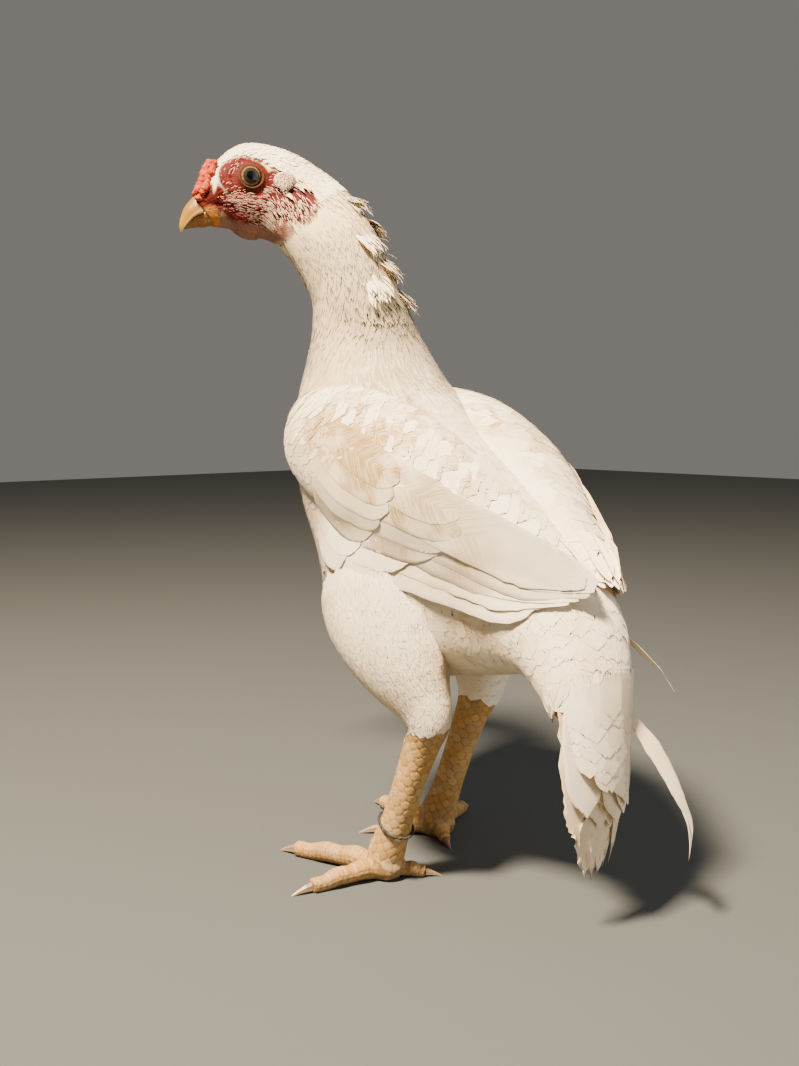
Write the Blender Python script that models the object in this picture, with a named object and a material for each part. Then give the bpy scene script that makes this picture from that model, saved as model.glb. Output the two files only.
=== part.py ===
"""Life-size still model of a white aseel fowl, standing, its head turned to its left.

Metres, +Z up. The bird faces -Y and its left side is +X. Lengths along the bird are
given as a distance forward of the middle of its feet, so y is minus that distance.
"""

import math

import bmesh
import bpy
import numpy as np
from mathutils import Matrix, Vector

# Driving dimensions
GAP = 0.0003
STANCE = 0.072
BODY_LEFT = -0.0087
LEFT_FOOT_FORWARD = -0.0205
RIGHT_FOOT_FORWARD = 0.0095
EYE_OPENING = 0.0068
EYE_BALL = 0.0086
MOUTH_GAP = 0.0006
RING_WIRE = 0.0009

# Where the box's middle lies from the middle of the feet
BOX_MIDDLE_LEFT = 0.0028
BOX_MIDDLE_FORWARD = -0.0248

# How finely the forms are faceted
SKIN_SIDES = 26
LIMB_SIDES = 16
WING_SIDES = 16
TAIL_SIDES = 14
TOE_SIDES = 9
CLAW_SIDES = 6
ROWS_A_STATION = 3

# The body's stations from the face to the tail root: where the section's middle lies
# (forward, left, up), how far the section is turned to the bird's left in degrees, and
# how far the skin lies from that middle to each side, towards the back and towards the belly.
BODY = (
    ("face", 0.1285, 0.0632, 0.4100, 66, 0.0078, 0.0092, 0.0100),
    ("brow", 0.1236, 0.0523, 0.4190, 66, 0.0155, 0.0190, 0.0200),
    ("crown", 0.1175, 0.0386, 0.4210, 66, 0.0200, 0.0325, 0.0262),
    ("ear", 0.1082, 0.0243, 0.4203, 62, 0.0216, 0.0325, 0.0275),
    ("nape", 0.0987, 0.0148, 0.4113, 52, 0.0222, 0.0340, 0.0235),
    ("throat", 0.0842, 0.0083, 0.3981, 40, 0.0232, 0.0345, 0.0225),
    ("neck_top", 0.0677, 0.0033, 0.3818, 28, 0.0248, 0.0315, 0.0255),
    ("neck_middle", 0.0557, -0.0017, 0.3602, 16, 0.0262, 0.0291, 0.0266),
    ("neck_low", 0.0517, -0.0057, 0.3361, 6, 0.0310, 0.0350, 0.0318),
    ("neck_root", 0.0495, -0.0087, 0.3156, 0, 0.0400, 0.0395, 0.0389),
    ("shoulder", 0.0397, -0.0087, 0.2851, 0, 0.0550, 0.0430, 0.0500),
    ("breast", 0.0177, -0.0087, 0.2545, 0, 0.0660, 0.0480, 0.0700),
    ("chest", -0.0163, -0.0087, 0.2240, 0, 0.0670, 0.0500, 0.0880),
    ("loin", -0.0603, -0.0087, 0.1955, 0, 0.0590, 0.0480, 0.0820),
    ("belly", -0.0973, -0.0087, 0.1741, 0, 0.0460, 0.0400, 0.0560),
    ("rump", -0.1263, -0.0057, 0.1538, 0, 0.0370, 0.0300, 0.0300),
    ("tail_root", -0.1403, -0.0027, 0.1324, 0, 0.0300, 0.0220, 0.0200),
)
HEAD_ENDS = 4
NECK_ENDS = 9

# The tail's stations, hanging: forward, left, up, half its breadth and half its depth
TAIL = (
    (-0.1413, -0.0057, 0.1395, 0.0300, 0.0190),
    (-0.1493, -0.0027, 0.1120, 0.0240, 0.0120),
    (-0.1553, -0.0007, 0.0845, 0.0190, 0.0080),
    (-0.1573, -0.0007, 0.0560, 0.0160, 0.0060),
    (-0.1553, -0.0007, 0.0275, 0.0110, 0.0040),
)
TAIL_CORE_ENDS = 4

# The tail's feathers: how many, how far the outermost lie across, root and tip rows of the
# middle ones, how much sooner the outermost end, half breadth, and the first one's layer
TAIL_TIERS = (
    ("rectrices", 8, 1.0, 1.2, 8.0, 2.2, 0.0086, 0),
    ("coverts", 4, 0.8, 0.6, 4.6, 0.8, 0.0100, -4),
)
TAIL_VANE = 0.0012
TAIL_LAYER = 0.0016
TAIL_INSET = 0.0050

# The sickles: how far across at root and tip, root and tip rows, how far they stand off
# halfway and at the tip, half breadth
SICKLES = (
    (-1.0, -4.0, 1.2, 7.6, 0.0100, 0.0280, 0.0054),
    (-0.7, -2.4, 1.6, 6.8, 0.0080, 0.0180, 0.0048),
)

# A vane's outline from root to tip: places along it and its half breadth there
VANE_STEPS = (0.0, 0.28, 0.62, 0.88, 1.0)
VANE_BREADTHS = (0.60, 0.96, 1.0, 0.74, 0.16)
ROOT_SINK = 0.0026

# A folded wing's stations from shoulder to tip: forward, out from the body's middle, up,
# half the lobe's breadth and half its height
WING = (
    (0.0627, 0.0440, 0.2678, 0.0080, 0.0120),
    (0.0497, 0.0440, 0.2657, 0.0230, 0.0290),
    (0.0247, 0.0430, 0.2596, 0.0330, 0.0390),
    (-0.0103, 0.0400, 0.2454, 0.0390, 0.0450),
    (-0.0503, 0.0340, 0.2281, 0.0380, 0.0400),
    (-0.0903, 0.0225, 0.2036, 0.0280, 0.0330),
    (-0.1253, 0.0135, 0.1843, 0.0160, 0.0235),
    (-0.1463, 0.0100, 0.1752, 0.0085, 0.0125),
    (-0.1563, 0.0090, 0.1715, 0.0050, 0.0050),
)

# A wing's feathers: how many, turns from the lobe's top to its lower edge for the first and
# last in degrees, root rows, tip rows, half breadth, thickness, and the lift over the core
# halfway and at the tip
WING_TIERS = (
    ("primaries", 4, 116, 138, 8.0, 9.0, 13.8, 15.4, 0.0050, 0.0014, 0.0004, 0.0012),
    ("secondaries", 8, 14, 118, 5.0, 7.0, 15.6, 13.4, 0.0070, 0.0015, 0.0014, 0.0022),
    ("greater_coverts", 7, 12, 126, 3.0, 3.6, 9.2, 7.6, 0.0070, 0.0014, 0.0026, 0.0036),
)
WING_SHRINK = 0.0030
SHINGLE = math.radians(7)

# The neck's locks: how many, turns of the first and last from the nape in degrees, root and
# tip rows, half breadth, thickness, and the tip's lift off the neck
NECK_LOCKS = (
    ("hackle_tips", 8, -140, 140, 21.5, 26.3, 0.0072, 0.0013, 0.0022),
    ("nape_tufts", 4, -48, 48, 19.0, 24.6, 0.0052, 0.0013, 0.0085),
    ("upper_tufts", 3, -30, 38, 15.5, 20.6, 0.0046, 0.0013, 0.0075),
)

# A leg's stations from the hip to the ankle: out from the body's middle, forward of the
# foot, up, half its breadth across and half its depth fore and aft
LEG = (
    (0.0430, -0.0003, 0.1863, 0.0200, 0.0300),
    (0.0480, -0.0074, 0.1662, 0.0250, 0.0370),
    (0.0485, -0.0166, 0.1462, 0.0235, 0.0330),
    (0.0450, -0.0247, 0.1262, 0.0180, 0.0240),
    (0.0400, -0.0310, 0.1123, 0.0138, 0.0170),
    (0.0372, -0.0336, 0.1014, 0.0122, 0.0140),
    (0.0360, -0.0283, 0.0885, 0.0098, 0.0115),
    (0.0360, -0.0179, 0.0610, 0.0086, 0.0098),
    (0.0360, -0.0084, 0.0345, 0.0088, 0.0100),
    (0.0360, -0.0010, 0.0160, 0.0105, 0.0120),
)
HIP_STEP = 0.25
THIGH_ENDS = 5

# Each foot's toes: the angle from straight ahead, outward positive, the length to the
# claw's tip, half its thickness at the root, and how high the toe arches
TOES = {
    "left": (
        ("middle", 17, 0.0790, 0.0068, 0.0030),
        ("outer", 77, 0.0620, 0.0062, 0.0030),
        ("inner", -36, 0.0540, 0.0062, 0.0030),
        ("hallux", -132, 0.0340, 0.0052, 0.0020),
    ),
    "right": (
        ("middle", 7, 0.0760, 0.0068, 0.0030),
        ("outer", 66, 0.0600, 0.0062, 0.0030),
        ("inner", -47, 0.0520, 0.0062, 0.0030),
        ("hallux", -154, 0.0290, 0.0052, 0.0020),
    ),
}
CLAW = 0.0130
HALLUX_CLAW = 0.0100
CLAW_FLAT = 0.0004

# The head's own frame: its middle, and how far it is turned to the bird's left
HEAD_MIDDLE = (0.0413, -0.1187, 0.4205)
HEAD_YAW = math.radians(66)

# The ear's radius, and the leg ring's row on the shank, its lean and how loosely it sits
EAR_RADIUS = 0.0063
RING_ROW = 16
RING_LEAN = 0.0018
RING_SLACK = 0.0003

# Places on the head, ahead, left and up of its middle: an eye, the corner of the mouth and
# a nostril, and the half sizes of the hollows cut for the last two
EYE_PLACE = (-0.0052, 0.0142, 0.0095)
MOUTH_CORNER = (0.0158, 0.0118, -0.0090)
MOUTH_SIZE = (0.0062, 0.0034, 0.0006)
NOSTRIL = (0.0262, 0.0074, -0.0064)
NOSTRIL_SIZE = (0.0022, 0.0016, 0.0009)
EAR_ROW = 10.6
EAR_TURN = math.radians(72)

# The comb's bulbs from the beak up the forehead: ahead, up and radius, and its rows' spacing
COMB = (
    (0.0268, 0.0012, 0.0034),
    (0.0232, 0.0070, 0.0043),
    (0.0204, 0.0130, 0.0046),
    (0.0180, 0.0188, 0.0042),
    (0.0138, 0.0228, 0.0030),
)
COMB_ROW = 0.0052

# The beak from the face to the tip: the mouth line's place ahead and up, then half the
# breadth and the height of the horn over that line and under it
BEAK = (
    (0.0215, -0.0118, 0.0078, 0.0125, 0.0068, 0.0085),
    (0.0250, -0.0131, 0.0074, 0.0120, 0.0062, 0.0082),
    (0.0290, -0.0150, 0.0062, 0.0092, 0.0050, 0.0070),
    (0.0325, -0.0180, 0.0046, 0.0064, 0.0034, 0.0048),
    (0.0355, -0.0217, 0.0029, 0.0037, 0.0012, 0.0014),
    (0.0373, -0.0250, 0.0007, 0.0007, 0.0000, 0.0000),
)


def clear_scene():
    """Removes whatever the scene holds, so that the script starts from nothing."""
    for old in list(bpy.data.objects):
        bpy.data.objects.remove(old)


def material(name, colour, roughness):
    """A Principled material of one plain colour."""
    made = bpy.data.materials.new(name)
    made.use_nodes = True
    shader = made.node_tree.nodes["Principled BSDF"]
    shader.inputs["Base Color"].default_value = (*colour, 1.0)
    shader.inputs["Roughness"].default_value = roughness
    return made


def through(values, rows):
    """Rows of values on a smooth curve through the given ones, rows to a step."""
    given = np.asarray(values, float)
    ends = np.vstack([2 * given[0] - given[1], given, 2 * given[-1] - given[-2]])
    found = []
    for i in range(len(given) - 1):
        before, start, end, after = ends[i : i + 4]
        for share in np.arange(rows) / rows:
            found.append(
                0.5
                * (
                    2 * start
                    + (end - before) * share
                    + (2 * before - 5 * start + 4 * end - after) * share**2
                    + (3 * start - before - 3 * end + after) * share**3
                )
            )
    return np.array([*found, given[-1]])


def unit(vectors):
    """The same directions at length 1."""
    vectors = np.asarray(vectors, float)
    return vectors / np.linalg.norm(vectors, axis=-1, keepdims=True)


def sections(middles, sides, ups, half_widths, aboves, belows, points):
    """Rings of points: an ellipse on each middle, with unlike halves above and below."""
    turn = np.arange(points) * 2 * math.pi / points
    across = np.sin(turn)[None, :, None] * half_widths[:, None, None] * sides[:, None, :]
    height = np.where(np.cos(turn)[None, :] > 0, aboves[:, None], belows[:, None])
    upward = (np.cos(turn)[None, :] * height)[:, :, None] * ups[:, None, :]
    return middles[:, None, :] + across + upward


def tangents(middles, smoothings):
    """The direction along a row of points, evened out so that its turns are shared."""
    along = np.gradient(middles, axis=0)
    for _ in range(smoothings):
        padded = np.vstack([along[0], along, along[-1]])
        along = (padded[:-2] + 2 * padded[1:-1] + padded[2:]) / 4
    return unit(along)


def body_frames():
    """The body's rows: middles, directions along, left and up, and the three half sizes."""
    rows = through([station[1:] for station in BODY], ROWS_A_STATION)
    middles = np.column_stack([rows[:, 1], -rows[:, 0], rows[:, 2]])
    along = tangents(middles, 4)
    yaw = np.radians(rows[:, 3])
    left = np.column_stack([np.cos(yaw), np.sin(yaw), np.zeros(len(yaw))])
    up = unit(np.cross(left, along))
    left = unit(np.cross(along, up))
    return middles, along, left, up, rows[:, 4:]


def body_rings(first, last, grow=0.0):
    """The skin's rings between two stations, grown outward by a given amount."""
    middles, along, left, up, sizes = body_frames()
    sizes = sizes + grow
    rings = sections(middles, left, up, sizes[:, 0], sizes[:, 1], sizes[:, 2], SKIN_SIDES)
    start, end = first * ROWS_A_STATION, last * ROWS_A_STATION
    rings = rings[start : end + 1].copy()
    if first > 0:
        rings[0] += along[start] * (GAP / 2)
    if end < len(along) - 1:
        rings[-1] -= along[end] * (GAP / 2)
    return rings


def on_skin(row, turn, lift=0.0):
    """A point on the body's skin, turned round from its back, and the way the skin faces."""
    middles, along, left, up, sizes = body_frames()
    rows = np.arange(len(middles))

    def at(values):
        return np.array([np.interp(row, rows, values[:, k]) for k in range(values.shape[1])])

    middle, left, up, sizes = at(middles), unit(at(left)), unit(at(up)), at(sizes)
    high = sizes[1] if math.cos(turn) > 0 else sizes[2]
    place = middle + math.sin(turn) * sizes[0] * left + math.cos(turn) * high * up
    facing = unit(math.sin(turn) / sizes[0] * left + math.cos(turn) / high * up)
    return place + lift * facing, facing


def limb_rings(stations, across, rows, points, smoothings=1):
    """Rings round a smooth curve through stations of x, y, z, half breadth and half depth."""
    values = through(stations, rows)
    middles = values[:, :3]
    along = tangents(middles, smoothings)
    across = np.asarray(across, float)
    side = unit(across - (along @ across)[:, None] * along)
    front = np.cross(along, side)
    rings = sections(middles, side, front, values[:, 3], values[:, 4], values[:, 4], points)
    return rings, along


def loft(name, rings, finish=None):
    """A closed body over rings of equal count, with a point in the middle of each end."""
    rings = np.asarray(rings, float)
    count, points = rings.shape[:2]
    shape = bmesh.new()
    grid = [[shape.verts.new(p) for p in ring] for ring in rings]
    first, last = shape.verts.new(rings[0].mean(0)), shape.verts.new(rings[-1].mean(0))
    for k in range(points):
        n = (k + 1) % points
        for i in range(count - 1):
            shape.faces.new((grid[i][k], grid[i][n], grid[i + 1][n], grid[i + 1][k]))
        shape.faces.new((first, grid[0][n], grid[0][k]))
        shape.faces.new((last, grid[-1][k], grid[-1][n]))
    return finished(name, shape, finish)


def ball(name, middle, radii, directions, finish=None, sides=12, rows=8):
    """An ellipsoid with its radii along three given directions."""
    shape = bmesh.new()
    bmesh.ops.create_uvsphere(shape, u_segments=sides, v_segments=rows, radius=1.0)
    turn = Matrix([directions[i] for i in range(3)]).transposed()
    size = Matrix.Diagonal(radii)
    bmesh.ops.transform(shape, matrix=(turn @ size).to_4x4(), verts=shape.verts)
    bmesh.ops.translate(shape, vec=Vector(middle), verts=shape.verts)
    return finished(name, shape, finish)


def finished(name, shape, finish):
    """A named object from a bmesh shape, triangulated, with its faces pointing out."""
    bmesh.ops.triangulate(shape, faces=shape.faces)
    face_outward(shape)
    mesh = bpy.data.meshes.new(name)
    shape.to_mesh(mesh)
    shape.free()
    if finish:
        mesh.materials.append(finish)
        mesh.shade_smooth()
    made = bpy.data.objects.new(name, mesh)
    BIRD.objects.link(made)
    return made


def face_outward(shape):
    """Turns a closed shape's faces so that they all point out."""
    bmesh.ops.recalc_face_normals(shape, faces=shape.faces)
    if shape.calc_volume(signed=True) < 0:
        bmesh.ops.reverse_faces(shape, faces=shape.faces)


def combined(base, pieces, operation="UNION", solver="EXACT"):
    """Applies one Boolean with a collection of pieces to an object, then removes them."""
    if not pieces:
        return base
    group = bpy.data.collections.new("pieces")
    bpy.context.scene.collection.children.link(group)
    for piece in pieces:
        BIRD.objects.unlink(piece)
        group.objects.link(piece)
    step = base.modifiers.new("combine", "BOOLEAN")
    step.operand_type = "COLLECTION"
    step.collection = group
    step.operation = operation
    step.solver = solver
    bpy.context.view_layer.update()
    graph = bpy.context.evaluated_depsgraph_get()
    mesh = bpy.data.meshes.new_from_object(base.evaluated_get(graph))
    base.modifiers.clear()
    base.data = mesh
    for piece in pieces:
        bpy.data.objects.remove(piece)
    bpy.data.collections.remove(group)
    return base


def largest(made, finish):
    """Keeps an object's largest closed surface, cleaned and triangulated."""
    shape = bmesh.new()
    shape.from_mesh(made.data)
    bmesh.ops.remove_doubles(shape, verts=shape.verts, dist=MERGE)
    bmesh.ops.dissolve_degenerate(shape, edges=shape.edges, dist=MERGE)
    bmesh.ops.triangulate(shape, faces=shape.faces)
    unseen, pieces = set(shape.verts), []
    while unseen:
        stack, piece = [unseen.pop()], []
        while stack:
            vert = stack.pop()
            piece.append(vert)
            for edge in vert.link_edges:
                other = edge.other_vert(vert)
                if other in unseen:
                    unseen.remove(other)
                    stack.append(other)
        pieces.append(piece)
    pieces.sort(key=len)
    for piece in pieces[:-1]:
        bmesh.ops.delete(shape, geom=piece, context="VERTS")
    mesh = bpy.data.meshes.new(made.name)
    shape.to_mesh(mesh)
    shape.free()
    mesh.materials.clear()
    mesh.materials.append(finish)
    mesh.polygons.foreach_set("material_index", np.zeros(len(mesh.polygons), np.int32))
    mesh.shade_smooth()
    made.data = mesh
    return made


def cut_flat(made, point, normal):
    """Cuts away what lies past a plane and closes the cut with a flat face."""
    shape = bmesh.new()
    shape.from_mesh(made.data)
    geometry = [*shape.verts, *shape.edges, *shape.faces]
    found = bmesh.ops.bisect_plane(
        shape, geom=geometry, dist=MERGE, plane_co=point, plane_no=normal, clear_outer=True
    )
    rim = [item for item in found["geom_cut"] if isinstance(item, bmesh.types.BMEdge)]
    bmesh.ops.holes_fill(shape, edges=rim)
    bmesh.ops.triangulate(shape, faces=shape.faces)
    face_outward(shape)
    shape.to_mesh(made.data)
    shape.free()
    return made


def on_head(ahead, left, up):
    """A place on the head, given in the head's own directions."""
    middle = np.array(HEAD_MIDDLE)
    return middle + ahead * HEAD_AHEAD + left * HEAD_LEFT + up * UPWARD


def face_plane():
    """The flat end of the head that the beak starts from: a point and the way it faces."""
    middles, along, _, _, _ = body_frames()
    return middles[0], -along[0]


def make_head():
    """The head, with its lids and the corners of its mouth, and room left for the eyes."""
    head = loft("head", body_rings(0, HEAD_ENDS), WHITE)
    added, removed = [], []
    for name, side in SIDES:
        eye = eye_place(side)
        added.append(lid_ring(side, eye))
        removed.append(
            ball("socket", eye, (EYE_BALL + GAP,) * 3, HEAD_AXES, sides=14, rows=10)
        )
        ahead, out, up = MOUTH_CORNER
        removed.append(ball("mouth", on_head(ahead, side * out, up), MOUTH_SIZE, HEAD_AXES))
    combined(head, added)
    combined(head, removed, "DIFFERENCE")
    return largest(head, WHITE)


def eye_place(side):
    """The middle of an eyeball."""
    ahead, out, up = EYE_PLACE
    return on_head(ahead, side * out, up)


def lid_ring(side, eye):
    """The lids: a ring raised round the eye, thicker over it than under it."""
    turns = np.arange(16) * 2 * math.pi / 16
    facing = unit(side * HEAD_LEFT + 0.12 * HEAD_AHEAD)
    across = unit(np.cross(UPWARD, facing))
    upward = unit(np.cross(facing, across))
    rise = math.sqrt(EYE_BALL**2 - EYE_OPENING**2)
    rings = []
    for turn in turns:
        outward = math.cos(turn) * across + math.sin(turn) * upward
        thick = 0.0012 + 0.0006 * max(0.0, math.sin(turn))
        middle = eye + facing * rise + outward * (EYE_OPENING + thick)
        around = np.arange(6) * math.pi / 3
        rings.append(
            [middle + thick * (math.cos(a) * outward + math.sin(a) * facing) for a in around]
        )
    return closed_ring("lids", rings)


def closed_ring(name, rings, finish=None):
    """A closed body over rings that run round and meet themselves."""
    shape = bmesh.new()
    grid = [[shape.verts.new(p) for p in ring] for ring in rings]
    count, points = len(grid), len(grid[0])
    for i in range(count):
        for k in range(points):
            j, n = (i + 1) % count, (k + 1) % points
            shape.faces.new((grid[i][k], grid[i][n], grid[j][n], grid[j][k]))
    return finished(name, shape, finish)


def make_eyes():
    """The two eyeballs."""
    for name, side in SIDES:
        ball(f"eye_{name}", eye_place(side), (EYE_BALL,) * 3, HEAD_AXES, EYE, 14, 10)


def make_beak():
    """The beak's two halves, parted along the mouth, the upper one with its nostrils."""
    point, ahead = face_plane()
    values = through(BEAK, 2)
    line = np.array([on_head(row[0], 0.0, row[1]) for row in values])
    up = np.cross(HEAD_LEFT, tangents(line, 1))
    up *= np.sign(up[:, 2:3])
    left = np.tile(HEAD_LEFT, (len(values), 1))
    flat = np.full(len(values), MOUTH_GAP / 10)
    for name, side, column, end in (("upper", 1, 2, len(values)), ("lower", -1, 4, -2)):
        middles = (line + side * up * MOUTH_GAP * 0.6)[:end]
        broad, high = values[:end, column], values[:end, column + 1]
        heights = (high, flat[:end]) if side > 0 else (flat[:end], high)
        rings = sections(middles, left[:end], up[:end], broad, *heights, 12)
        half = cut_flat(loft(f"beak_{name}", rings, HORN), point + ahead * GAP, -ahead)
        if side > 0:
            hollows = []
            for _, flank in SIDES:
                place = on_head(NOSTRIL[0], flank * NOSTRIL[1], NOSTRIL[2])
                hollows.append(ball("nostril", place, NOSTRIL_SIZE, HEAD_AXES, None, 10, 6))
            combined(half, hollows, "DIFFERENCE")
            largest(half, HORN)


def make_comb():
    """The pea comb: three rows of bulbs up the forehead, clear of the skin by a hair."""
    bulbs = []
    for offset in (-COMB_ROW, 0.0, COMB_ROW):
        for ahead, up, size in through(COMB, 1):
            if offset:
                ahead, up, size = ahead - 0.0022, up - 0.0010, size * 0.92
            middle = on_head(ahead, offset, up)
            bulbs.append(ball("bulb", middle, (size, size, size), HEAD_AXES, None, 7, 5))
    comb = bulbs.pop()
    comb.name = "comb"
    combined(comb, bulbs)
    combined(comb, [loft("under", body_rings(0, HEAD_ENDS, GAP))], "DIFFERENCE")
    point, ahead = face_plane()
    cut_flat(comb, point, ahead)
    return largest(comb, FLESH)


def make_ears():
    """The ears: a low round cushion of feathers on each side, with a shallow cup in it."""
    for name, side in SIDES:
        middle, facing = on_skin(EAR_ROW, side * EAR_TURN)
        across = unit(np.cross(UPWARD, facing))
        axes = (across, facing, np.cross(across, facing))
        ear = ball(f"ear_{name}", middle, (EAR_RADIUS, 0.0042, EAR_RADIUS), axes, WHITE, 12, 8)
        cup = ball("cup", middle + facing * 0.0052, (0.0034, 0.0026, 0.0034), axes, None, 12, 8)
        skin = loft("skin", body_rings(0, NECK_ENDS, GAP))
        combined(ear, [cup, skin], "DIFFERENCE")
        largest(ear, WHITE)


def make_leg_ring():
    """The thin dark cord worn round the left shank just above the foot."""
    rings, along = limb_rings(leg_stations("left", 1), (1, 0, 0), 2, LIMB_SIDES, 2)
    section = rings[RING_ROW]
    middle = section.mean(0)
    course = []
    for place in section:
        outward = unit(place - middle)
        lean = RING_LEAN * (outward @ np.array([0.6, 0.8, 0.0]))
        course.append(place + outward * (GAP + RING_WIRE + RING_SLACK) - UPWARD * lean)
    course = np.array(course)
    ahead = unit(np.roll(course, -1, 0) - np.roll(course, 1, 0))
    outward = unit(course - middle)
    upright = np.cross(ahead, outward)
    turns = np.arange(6) * math.pi / 3
    rings = [
        [p + RING_WIRE * (math.cos(a) * o + math.sin(a) * u) for a in turns]
        for p, o, u in zip(course, outward, upright)
    ]
    closed_ring("leg_ring", rings, CORD)


def vane(name, places, facings, half_breadth, thick, lean=0.0):
    """A flat tapered feather or lock, thickest along its middle, laid through given places."""
    places, facings = np.array(places), np.array(facings)
    along = tangents(places, 0)
    facing = unit(facings - np.sum(facings * along, 1)[:, None] * along)
    side = np.cross(along, facing)
    side, facing = (
        math.cos(lean) * side + math.sin(lean) * facing,
        math.cos(lean) * facing - math.sin(lean) * side,
    )
    broad = (half_breadth * np.array(VANE_BREADTHS))[:, None]
    deep = (thick / 2 * np.array([1.2, 1.1, 1.0, 0.8, 0.5]))[:, None]
    corners = (places - side * broad, places + facing * deep)
    corners += (places + side * broad, places - facing * deep)
    return loft(name, np.stack(corners, 1))


def laid(surface, root, tip, half_breadth, thick, lifts, lean=0.0):
    """A vane laid on a surface of rows and turns, its root sunk into what it grows from."""
    places, facings = [], []
    for step in VANE_STEPS:
        row = root[0] + (tip[0] - root[0]) * step
        turn = root[1] + (tip[1] - root[1]) * step
        lift = np.interp(step, (0.0, 0.3, 1.0), (-ROOT_SINK, lifts[0], lifts[1]))
        place, facing = surface(row, math.radians(turn), lift)
        places.append(place)
        facings.append(facing)
    return vane("vane", places, facings, half_breadth, thick, lean)


def make_neck():
    """The neck between the head and the torso, with the tips of its hackles and its tufts."""
    neck = loft("neck", body_rings(HEAD_ENDS, NECK_ENDS))
    draw = np.random.default_rng(7)
    locks = []
    for _, count, first, last, root, tip, broad, thick, lift in NECK_LOCKS:
        for turn in np.linspace(first, last, count):
            end = tip + draw.uniform(-0.4, 0.4)
            stand = lift * draw.uniform(0.75, 1.15)
            sway = draw.uniform(-5, 5)
            lifts = (0.0002, stand)
            locks.append(laid(on_skin, (root, turn), (end, turn + sway), broad, thick, lifts))
    combined(neck, locks)
    return largest(neck, WHITE)


def make_torso():
    """The trunk from the neck's root to the tail's root."""
    return loft("torso", body_rings(NECK_ENDS, len(BODY) - 1), WHITE)


def shaped(values, across, up_like):
    """Rows of middles, directions across and up, and half sizes for a lobe with vanes."""
    middles = values[:, :3]
    along = tangents(middles, 1)
    side = unit(across - (along @ across)[:, None] * along)
    up = np.cross(along, side)
    up *= np.sign(up @ up_like)[:, None]
    return middles, side, up, values[:, 3:]


def over(shape, row, turn, lift):
    """A place over a lobe's surface, turned round from its top, and the way it faces."""
    middles, side, up, sizes = shape
    rows = np.arange(len(middles))
    table = np.hstack([middles, side, up, sizes])
    found = np.array([np.interp(row, rows, table[:, k]) for k in range(table.shape[1])])
    middle, side, up, (broad, high) = found[:3], unit(found[3:6]), unit(found[6:9]), found[9:]
    place = middle + math.sin(turn) * broad * side + math.cos(turn) * high * up
    facing = unit(math.sin(turn) / broad * side + math.cos(turn) / high * up)
    return place + lift * facing, facing


def across_tail(shape, row, share, lift):
    """A place in the tail's fan, a share of its half breadth across, and the way it faces."""
    middles, side, up, sizes = shape
    rows = np.arange(len(middles))
    table = np.hstack([middles, side, up, sizes])
    found = np.array([np.interp(row, rows, table[:, k]) for k in range(table.shape[1])])
    middle, side, up, (broad, deep) = found[:3], unit(found[3:6]), unit(found[6:9]), found[9:]
    place = middle + share * (broad - TAIL_INSET) * side + up * (deep * 0.6 + lift)
    return place, unit(up + 0.35 * share * side)


def lobe(name, shape, points, last=None):
    """A closed body over a lobe's rows."""
    middles, side, up, sizes = (values[:last] for values in shape)
    return loft(name, sections(middles, side, up, sizes[:, 0], sizes[:, 1], sizes[:, 1], points))


def make_tail():
    """The tail: feathers in two tiers and sickles, hanging from a short core."""
    middles, along, _, _, _ = body_frames()
    stations = [(left, -forward, up, broad, deep) for forward, left, up, broad, deep in TAIL]
    shape = shaped(through(stations, 2), np.array([1.0, 0, 0]), np.array([0, 1.0, 0]))
    tail = lobe("tail", shape, TAIL_SIDES, TAIL_CORE_ENDS)
    draw = np.random.default_rng(11)

    def surface(row, degrees, lift):
        return across_tail(shape, row, math.degrees(degrees), lift)

    vanes = []
    for _, count, widest, root, tip, sooner, broad, layer in TAIL_TIERS:
        shares = sorted(np.linspace(-widest, widest, count), key=lambda share: abs(share + 0.01))
        for rank, share in enumerate(shares):
            last = tip - sooner * abs(share) ** 2 + draw.uniform(-0.25, 0.25)
            under = -TAIL_LAYER * (rank + layer)
            lifts = (under, under + 0.0006)
            vanes.append(laid(surface, (root, share), (last, share), broad, TAIL_VANE, lifts))
    for start, end, root, tip, middle, stand, broad in SICKLES:
        vanes.append(laid(surface, (root, start), (tip, end), broad, TAIL_VANE, (middle, stand)))
    combined(tail, vanes)
    cut_flat(tail, middles[-1] + along[-1] * GAP, -along[-1])
    return largest(tail, WHITE)


def wing_shape(side):
    """A folded wing's lobe, drawn in so that the feathers laid on it give its outline."""
    stations = [
        (BODY_LEFT + side * out, -forward, up, broad - WING_SHRINK, high - WING_SHRINK)
        for forward, out, up, broad, high in WING
    ]
    return shaped(through(stations, 2), np.array([side, 0.0, 0.0]), UPWARD)


def make_wings():
    """The two folded wings: a core on the back and flank with its feathers in tiers."""
    for name, side in SIDES:
        shape = wing_shape(side)
        wing = lobe(f"wing_{name}", shape, WING_SIDES)
        draw = np.random.default_rng(3)

        def surface(row, turn, lift):
            return over(shape, row, turn, lift)

        vanes = []
        for _, count, first, last, root_a, root_b, tip_a, tip_b, *sizes in WING_TIERS:
            broad, thick, middle, end = sizes
            for share in np.linspace(0, 1, count):
                turn = first + (last - first) * share
                root = (root_a + (root_b - root_a) * share, turn)
                tip = tip_a + (tip_b - tip_a) * share + draw.uniform(-0.2, 0.2)
                lean = SHINGLE * side
                tip = (tip, turn + draw.uniform(-2, 2))
                vanes.append(laid(surface, root, tip, broad, thick, (middle, end), lean))
        combined(wing, vanes)
        trunk = loft("trunk", body_rings(NECK_ENDS - 1, len(BODY) - 1, GAP))
        combined(wing, [trunk], "DIFFERENCE")
        cut_flat(wing, Vector((BODY_LEFT + side * 0.001, 0, 0)), Vector((-side, 0, 0)))
        largest(wing, WHITE)


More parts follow.
